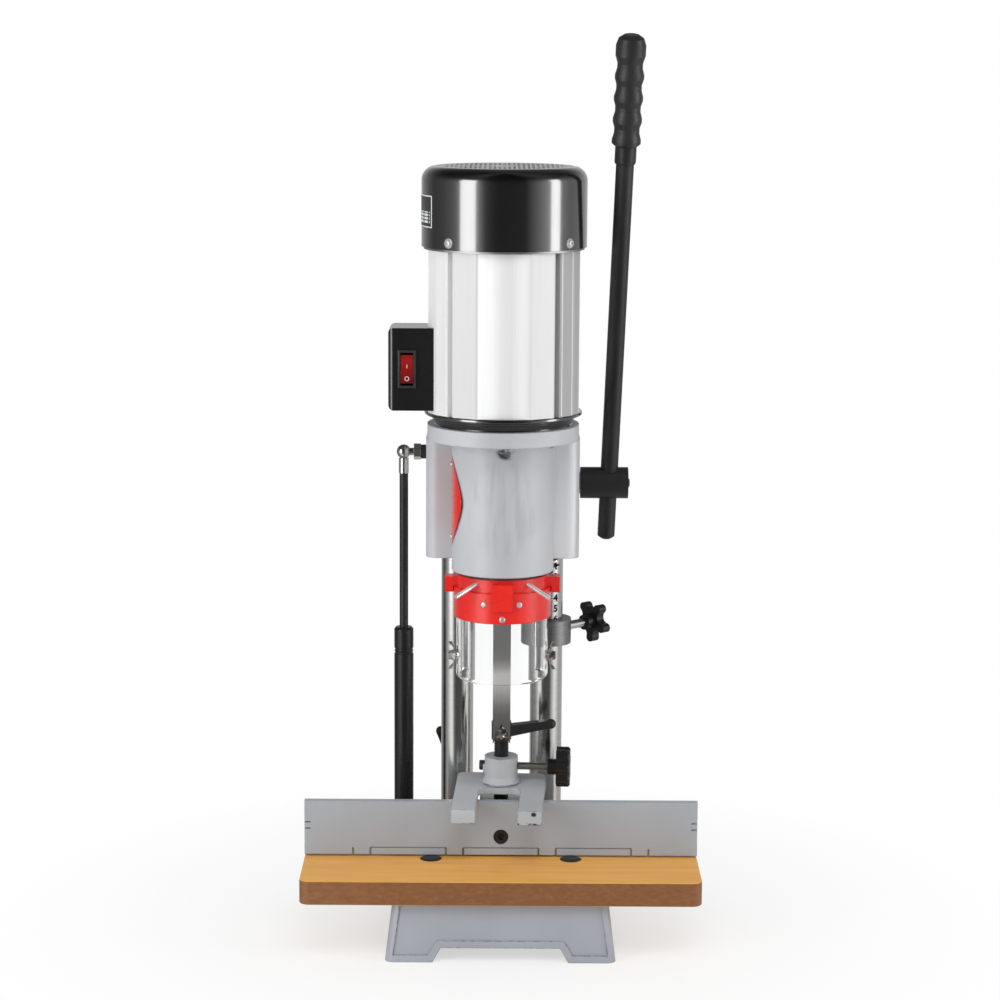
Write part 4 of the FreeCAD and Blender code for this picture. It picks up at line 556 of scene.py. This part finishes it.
# Auger: a flattened bar swept round and up, with a round shank above and a centre point below
auger = {"radius": 5.8, "web": 1.7, "belly": 0.7, "twistStart": 191.0, "twistEnd": 360.0, "turnRise": 15.0,
         "top": 405.0, "overlap": 2, "steps": 24, "point": ((1.9, 192.0), (1.6, 190.4), (0.15, 188.6))}
bit = bmesh.new()
section = bmesh.ops.create_circle(bit, cap_ends=False, radius=1.0, segments=20)["verts"]
for vert in section:
    slim = auger["web"] + auger["belly"] * (1 - abs(vert.co.x)) ** 2
    vert.co = (vert.co.x * auger["radius"] * mm, vert.co.y * slim * mm, auger["twistStart"] * mm)
loop = edgesOf(section)
bmesh.ops.edgeloop_fill(bit, edges=loop)
rise = auger["twistEnd"] - auger["twistStart"]
turns = rise / auger["turnRise"]
steps = int(turns * auger["steps"])
bmesh.ops.spin(bit, geom=section + loop, cent=(0, 0, 0), axis=(0, 0, 1), angle=math.tau * turns, steps=steps,
               dvec=(0, 0, rise / steps * mm), use_merge=False, use_duplicate=False)
bmesh.ops.edgeloop_fill(bit, edges=[edge for edge in bit.edges if edge.is_boundary])
shank = [(auger["radius"], auger["twistEnd"] - auger["overlap"]), (auger["radius"], auger["top"])]
addRings(bit, shank, Matrix.Identity(4))
addRings(bit, auger["point"], Matrix.Identity(4), segments=12)
bmesh.ops.translate(bit, verts=bit.verts, vec=(0, spindleY, 0))
finishPiece("twistedAuger", bit, looks["steel"], "spindle", "steel", "auger_bit")
print("auger made")


# Blank rating plate round the left of the fan cover: pale rim, dark field and rows of bars, nothing written
plate = {"reach": 72.95, "from": -59.5, "to": -93.5, "low": 653.8, "high": 681.5, "columns": 34, "rows": 28,
         "block": (2, 12), "barsBelow": 13, "barEvery": 3, "gapEvery": 9, "gaps": (1, 2), "margin": 2,
         "thick": 0.3}
plateDark = paint("platePrint", (0.03, 0.03, 0.032), (0.02, 0.02, 0.022), (0.25, 0.35), edge=0)
platePale = paint("plateFace", (0.72, 0.73, 0.74), (0.64, 0.65, 0.66), (0.3, 0.4), edge=0)
sheet = bmesh.new()
bmesh.ops.create_grid(sheet, x_segments=plate["columns"], y_segments=plate["rows"], size=0.5)
for face in sheet.faces:
    middle = face.calc_center_median()
    column = int((middle.x + 0.5) * plate["columns"])
    row = int((0.5 - middle.y) * plate["rows"])
    rim = min(column, plate["columns"] - 1 - column, row, plate["rows"] - 1 - row)
    block = plate["block"][0] <= row <= plate["block"][1]
    bar = (row > plate["barsBelow"] and row % plate["barEvery"] != 0
           and column % plate["gapEvery"] not in plate["gaps"])
    face.material_index = 0 if rim == 0 or not block and bar and rim > plate["margin"] else 1
for vert in sheet.verts:
    turn = math.radians(plate["to"] + (vert.co.x + 0.5) * (plate["from"] - plate["to"]))
    height = plate["low"] + (vert.co.y + 0.5) * (plate["high"] - plate["low"])
    vert.co = (math.sin(turn) * plate["reach"] * mm, spindleY - math.cos(turn) * plate["reach"] * mm,
               height * mm)
bmesh.ops.recalc_face_normals(sheet, faces=sheet.faces)
bmesh.ops.solidify(sheet, geom=sheet.faces[:], thickness=plate["thick"] * mm)
finishPiece("ratingPlate", sheet, [platePale, plateDark], "head", "plate_aluminium")


# On and off marks of the rocker: a bar above the pivot, a ring below it
rockerMark = {"x": -84.4, "barHeight": 533.2, "barFace": -85.72, "barSize": (0.55, 0.25, 3.0), "barLean": -1.9,
              "ringHeight": 522.6, "ringFace": -86.88, "ringRadii": (2.0, 1.5), "ringLean": -9.3, "thick": 0.25}
sign = bmesh.new()
bar = bmesh.ops.create_cube(sign, size=1.0)["verts"]
bmesh.ops.scale(sign, verts=bar, vec=[side * mm for side in rockerMark["barSize"]])
lean = Matrix.Rotation(math.radians(rockerMark["barLean"]), 3, "X")
bmesh.ops.rotate(sign, verts=bar, matrix=lean)
bmesh.ops.translate(sign, verts=bar, vec=(rockerMark["x"] * mm, rockerMark["barFace"] * mm,
                                          rockerMark["barHeight"] * mm))
loops = [bmesh.ops.create_circle(sign, cap_ends=False, radius=radius * mm, segments=32)["verts"]
         for radius in rockerMark["ringRadii"]]
band = bmesh.ops.bridge_loops(sign, edges=edgesOf(loops[0]) + edgesOf(loops[1]))["faces"]
raised = newVerts(bmesh.ops.extrude_face_region(sign, geom=band))
bmesh.ops.translate(sign, verts=raised, vec=(0, 0, rockerMark["thick"] * mm))
ringVerts = loops[0] + loops[1] + raised
lean = Matrix.Rotation(math.radians(90 + rockerMark["ringLean"]), 3, "X")
bmesh.ops.rotate(sign, verts=ringVerts, matrix=lean)
bmesh.ops.translate(sign, verts=ringVerts, vec=(rockerMark["x"] * mm, rockerMark["ringFace"] * mm,
                                                rockerMark["ringHeight"] * mm))
finishPiece("rockerMarks", sign, platePale, "rocker", "plate_aluminium")

# raised grey frame round the rocker, from a slab whose front is inset and whose middle is taken out
bezel = {"x": -84.4, "height": 530.8, "front": -86.35, "back": -84.4, "half": (7.8, 16.6),
         "hole": (5.75, 14.5), "round": 0.5}
greyPlastic = plastic("greyPlastic", (0.034, 0.034, 0.033), (0.025, 0.025, 0.024))
rimFrame = bmesh.new()
bmesh.ops.create_grid(rimFrame, x_segments=1, y_segments=1, size=1.0)
inner = bmesh.ops.inset_region(rimFrame, faces=rimFrame.faces[:], thickness=0.2, use_boundary=True)["faces"]
middle = [face for face in rimFrame.faces if face not in inner]
for vert in rimFrame.verts:
    half = bezel["hole"] if any(face in middle for face in vert.link_faces) else bezel["half"]
    vert.co = (math.copysign(half[0], vert.co.x) * mm, math.copysign(half[1], vert.co.y) * mm, 0)
bmesh.ops.delete(rimFrame, geom=middle, context="FACES_ONLY")
bmesh.ops.rotate(rimFrame, verts=rimFrame.verts, matrix=Matrix.Rotation(math.pi / 2, 3, "X"))
bmesh.ops.translate(rimFrame, verts=rimFrame.verts,
                    vec=(bezel["x"] * mm, bezel["back"] * mm, bezel["height"] * mm))
raised = newVerts(bmesh.ops.extrude_face_region(rimFrame, geom=rimFrame.faces[:]))
bmesh.ops.translate(rimFrame, verts=raised, vec=(0, (bezel["front"] - bezel["back"]) * mm, 0))
rims = [edge for edge in rimFrame.edges
        if all(abs(vert.co.y - bezel["front"] * mm) < 10 * weld for vert in edge.verts)]
bmesh.ops.bevel(rimFrame, geom=rims, offset=bezel["round"] * mm, offset_type="OFFSET", affect="EDGES",
                segments=2, profile=0.5, material=-1)
finishPiece("rockerBezel", rimFrame, greyPlastic, "head", "black_plastic", sharp=50)

# thin drawn beads along the motor case, where its flats meet, in a paler aluminium that paints a highlight
# along each
beads = {"bearings": (-70, -46, 46, 58, 70, 110, 134, -110, -134), "reach": 70.1, "width": 0.7, "proud": 0.6,
         "low": 491.5, "high": 635.5}
beadHighlightAluminium = metal("beadHighlightAluminium", (0.92, 0.92, 0.93), (0.86, 0.86, 0.87), (0.3, 0.4), upright, scale=12,
                      depth=0.006, edge=0.0002, metallic=0.1)
ribs = bmesh.new()
for bearing in beads["bearings"]:
    rib = bmesh.ops.create_cube(ribs, size=1.0)["verts"]
    size = (beads["width"] * mm, beads["proud"] * mm, (beads["high"] - beads["low"]) * mm)
    middle = (0, -beads["reach"] * mm, (beads["high"] + beads["low"]) / 2 * mm)
    bmesh.ops.scale(ribs, verts=rib, vec=size)
    bmesh.ops.translate(ribs, verts=rib, vec=middle)
    bmesh.ops.rotate(ribs, verts=rib, matrix=Matrix.Rotation(math.radians(bearing), 3, "Z"))
    bmesh.ops.translate(ribs, verts=rib, vec=(0, spindleY, 0))
finishPiece("motorBeads", ribs, beadHighlightAluminium, "head", "motor_aluminium")
print("plates and marks made")


# Depth scale printed on the right column: a figure every 10 mm and a tick every 2.5 mm.
# Its reach is just over the column's 15 mm, too little to touch the parts that slide
scale = {"x": 41.5, "y": 40.0, "reach": 15.012, "bearing": 33.0, "top": 344.0, "step": 10.0, "count": 7,
         "figure": 8.8, "bold": 0.45, "tick": 0.6, "tickStart": -3.2, "ticks": (3.4, 1.8, 2.6, 1.8),
         "strip": 0.6, "strips": 12}
ink = paint("scaleInk", (0.012, 0.012, 0.012), (0.006, 0.006, 0.006), (0.7, 0.8), edge=0, gloss=0.1)


# Cut into narrow strips first, so that the flat faces follow the round of the column
def bendOnColumn(bm, height):
    for step in range(-scale["strips"], scale["strips"] + 1):
        bmesh.ops.bisect_plane(bm, geom=bm.verts[:] + bm.edges[:] + bm.faces[:], dist=weld / 10,
                               plane_co=(step * scale["strip"] * mm, 0, 0), plane_no=(1, 0, 0))
    for vert in bm.verts:
        turn = math.radians(scale["bearing"]) + vert.co.x / (scale["reach"] * mm)
        reach = scale["reach"] * mm + vert.co.z
        vert.co = (scale["x"] * mm + math.sin(turn) * reach, scale["y"] * mm - math.cos(turn) * reach,
                   height * mm + vert.co.y)


def figureMesh(text):
    curve = bpy.data.curves.new("figure", "FONT")
    curve.body = text
    curve.size = scale["figure"] * mm
    curve.offset = scale["bold"] * mm
    curve.align_x = "CENTER"
    curve.align_y = "CENTER"
    curve.resolution_u = 4
    letter = bpy.data.objects.new("figure", curve)
    bpy.context.scene.collection.objects.link(letter)
    bpy.context.view_layer.update()
    shape = bpy.data.meshes.new_from_object(letter.evaluated_get(bpy.context.evaluated_depsgraph_get()))
    bpy.data.objects.remove(letter)
    bpy.data.curves.remove(curve)
    return shape


def tickMesh(length):
    stroke = bmesh.new()
    tick = bmesh.ops.create_grid(stroke, x_segments=1, y_segments=1, size=0.5)["verts"]
    bmesh.ops.scale(stroke, verts=tick, vec=(length * mm, scale["tick"] * mm, 1))
    bmesh.ops.translate(stroke, verts=tick, vec=((scale["tickStart"] - length / 2) * mm, 0, 0))
    shape = bpy.data.meshes.new("stroke")
    stroke.to_mesh(shape)
    stroke.free()
    return shape


printed = bmesh.new()
for index in range(scale["count"]):
    height = scale["top"] - index * scale["step"]
    rows = [(0, figureMesh(str(index)))]
    for part, length in enumerate(scale["ticks"]):
        rows.append((part * scale["step"] / len(scale["ticks"]), tickMesh(length)))
    for drop, shape in rows:
        strip = bmesh.new()
        strip.from_mesh(shape)
        bendOnColumn(strip, height - drop)
        strip.to_mesh(shape)
        strip.free()
        printed.from_mesh(shape)
        bpy.data.meshes.remove(shape)
finishPiece("columnScale", printed, ink, "stand", "black_plastic", tidy=False)
print("scale made")


# Camera, light and floor
camera = {"x": -0.0025, "height": 0.8194, "distance": 2.4384, "pitch": 0.17, "roll": 0.32, "lens": 97.7,
          "sensor": 36, "farthest": 40}


def addCamera():
    data = bpy.data.cameras.new("camera")
    data.lens = camera["lens"]
    data.sensor_width = camera["sensor"]
    data.clip_end = camera["farthest"]
    view = bpy.data.objects.new("camera", data)
    turn = Matrix.Rotation(math.radians(90) - camera["pitch"], 4, "X")
    roll = Matrix.Rotation(math.radians(camera["roll"]), 4, "Z")
    place = Matrix.Translation((camera["x"], -camera["distance"], camera["height"]))
    view.matrix_world = place @ turn @ roll
    bpy.context.scene.collection.objects.link(view)
    bpy.context.scene.camera = view


# Soft boxes at a bearing seen from the machine: 0 is towards the user, positive to the right
softBoxes = {
    "leftBox": {"bearing": -50, "far": 2.2, "height": 0.75, "aim": 0.6, "size": (0.9, 1.7), "power": 21,
                "mirrored": True},
    "rightBox": {"bearing": 73, "far": 2.2, "height": 0.75, "aim": 0.6, "size": (0.6, 1.7), "power": 14,
                 "mirrored": True},
    "highBox": {"bearing": 6, "far": 1.5, "height": 2.3, "aim": 0.4, "size": (1.6, 1.0), "power": 20,
                "mirrored": False},
}


def addSoftBox(name, box):
    data = bpy.data.lights.new(name, "AREA")
    data.shape = "RECTANGLE"
    data.size, data.size_y = box["size"]
    data.energy = box["power"]
    lamp = bpy.data.objects.new(name, data)
    bearing = math.radians(box["bearing"])
    place = Vector((math.sin(bearing) * box["far"], -math.cos(bearing) * box["far"], box["height"]))
    facing = (Vector((0, spindleY, box["aim"])) - place).to_track_quat("-Z", "Y").to_matrix().to_4x4()
    lamp.matrix_world = Matrix.Translation(place) @ facing
    lamp.visible_glossy = box["mirrored"]
    bpy.context.scene.collection.objects.link(lamp)


# What polished metal mirrors: a pale room with dark stretches. A stop is a share of the full turn and a tone
room = {"soft": (0.54, 0.54, 0.54, 1), "white": (1, 1, 1, 1),
        "ceiling": {"fromLow": 0.15, "fromHigh": 0.6, "toLow": 1.0, "toHigh": 0.15},  # it darkens overhead
        "stops": [(0.0, 0.6), (0.083, 0.35), (0.181, 0.12), (0.244, 0.2), (0.297, 0.38), (0.344, 0.75),
                  (0.389, 0.95), (0.425, 0.15), (0.469, 0.05), (0.583, 0.06), (0.633, 0.5), (0.678, 1.0),
                  (0.728, 0.7), (0.786, 0.4), (0.861, 0.42), (1.0, 0.6)]}
floorLook = {"half": 8.0, "pale": (0.94, 0.94, 0.94), "dull": (0.92, 0.92, 0.92), "rough": 0.9, "gloss": 0.1,
             # near the machine part of the shadow shows, further off all is white
             "fade": {"fromLow": 0.12, "fromHigh": 0.5, "toLow": 0.6, "toHigh": 1.0},
             "stops": [(0.0, 0.6), (0.083, 0.4), (0.181, 0.12), (0.244, 0.22), (0.297, 0.42), (0.344, 0.85),
                       (0.392, 1.0), (0.428, 0.16), (0.469, 0.07), (0.583, 0.09), (0.633, 0.55), (0.678, 1.0),
                       (0.728, 0.7), (0.786, 0.42), (0.861, 0.45), (1.0, 0.6)]}


def roomTone(tree, parts, stops):
    turn = remap(tree, bearingRound(tree, parts, 0), -math.pi, math.pi)
    return greyRamp(tree, turn, stops)


# Polished metal gets mirrored, the eye and what is seen through the guard get plain, the rest gets diffuse
def byRay(tree, diffuse, mirrored, plain):
    path = addNode(tree, "ShaderNodeLightPath")
    seen = calculate(tree, "MAXIMUM", path.outputs["Is Camera Ray"], path.outputs["Is Transmission Ray"])
    first = mixShader(tree, path.outputs["Is Glossy Ray"], diffuse, mirrored)
    return mixShader(tree, seen, first, plain)


def addWorld():
    world = bpy.data.worlds.new("studio")
    world.use_nodes = True
    bpy.context.scene.world = world
    tree = world.node_tree
    soft = tree.nodes["Background"]
    soft.inputs["Color"].default_value = room["soft"]
    white = addNode(tree, "ShaderNodeBackground", {"Color": room["white"]})
    parts = splitPoint(tree, addNode(tree, "ShaderNodeTexCoord").outputs["Generated"])
    ceiling = remap(tree, parts["Z"], **room["ceiling"])
    tone = mixColour(tree, 1, roomTone(tree, parts, room["stops"]), ceiling, "MULTIPLY")
    mirrored = addNode(tree, "ShaderNodeBackground", {"Color": tone})
    shown = byRay(tree, soft.outputs["Background"], mirrored.outputs["Background"], white.outputs["Background"])
    tree.links.new(shown, tree.nodes["World Output"].inputs["Surface"])


# White to the eye with the machine's own shadow; the room's dark stretches only show in polished metal
def addFloor():
    bm = bmesh.new()
    bmesh.ops.create_grid(bm, x_segments=1, y_segments=1, size=floorLook["half"])
    mesh = bpy.data.meshes.new("floor")
    bm.to_mesh(mesh)
    bm.free()
    floor = bpy.data.objects.new("floor", mesh)
    bpy.context.scene.collection.objects.link(floor)
    material, tree, shader = newMaterial("floorPale")
    patches = noise(tree, objectPoint(tree), scale=3, detail=2)
    tone = twoTones(tree, patches, floorLook["dull"], floorLook["pale"])
    feed(tree, shader.inputs["Base Color"], tone)
    shader.inputs["Roughness"].default_value = floorLook["rough"]
    shader.inputs["Specular IOR Level"].default_value = floorLook["gloss"]
    white = addNode(tree, "ShaderNodeEmission", {"Color": room["white"]})
    band = roomTone(tree, splitPoint(tree, objectPoint(tree)), floorLook["stops"])
    mirrored = addNode(tree, "ShaderNodeEmission", {"Color": band})
    away = calculateVector(tree, "LENGTH", objectPoint(tree))
    fade = remap(tree, away, **floorLook["fade"])
    plain = mixShader(tree, fade, shader.outputs["BSDF"], white.outputs["Emission"])
    shown = byRay(tree, shader.outputs["BSDF"], mirrored.outputs["Emission"], plain)
    tree.links.new(shown, tree.nodes["Material Output"].inputs["Surface"])
    floor.data.materials.append(material)


addCamera()
addWorld()
addFloor()
for name, box in softBoxes.items():
    addSoftBox(name, box)
bpy.context.scene.view_settings.view_transform = "Standard"
print("studio set")
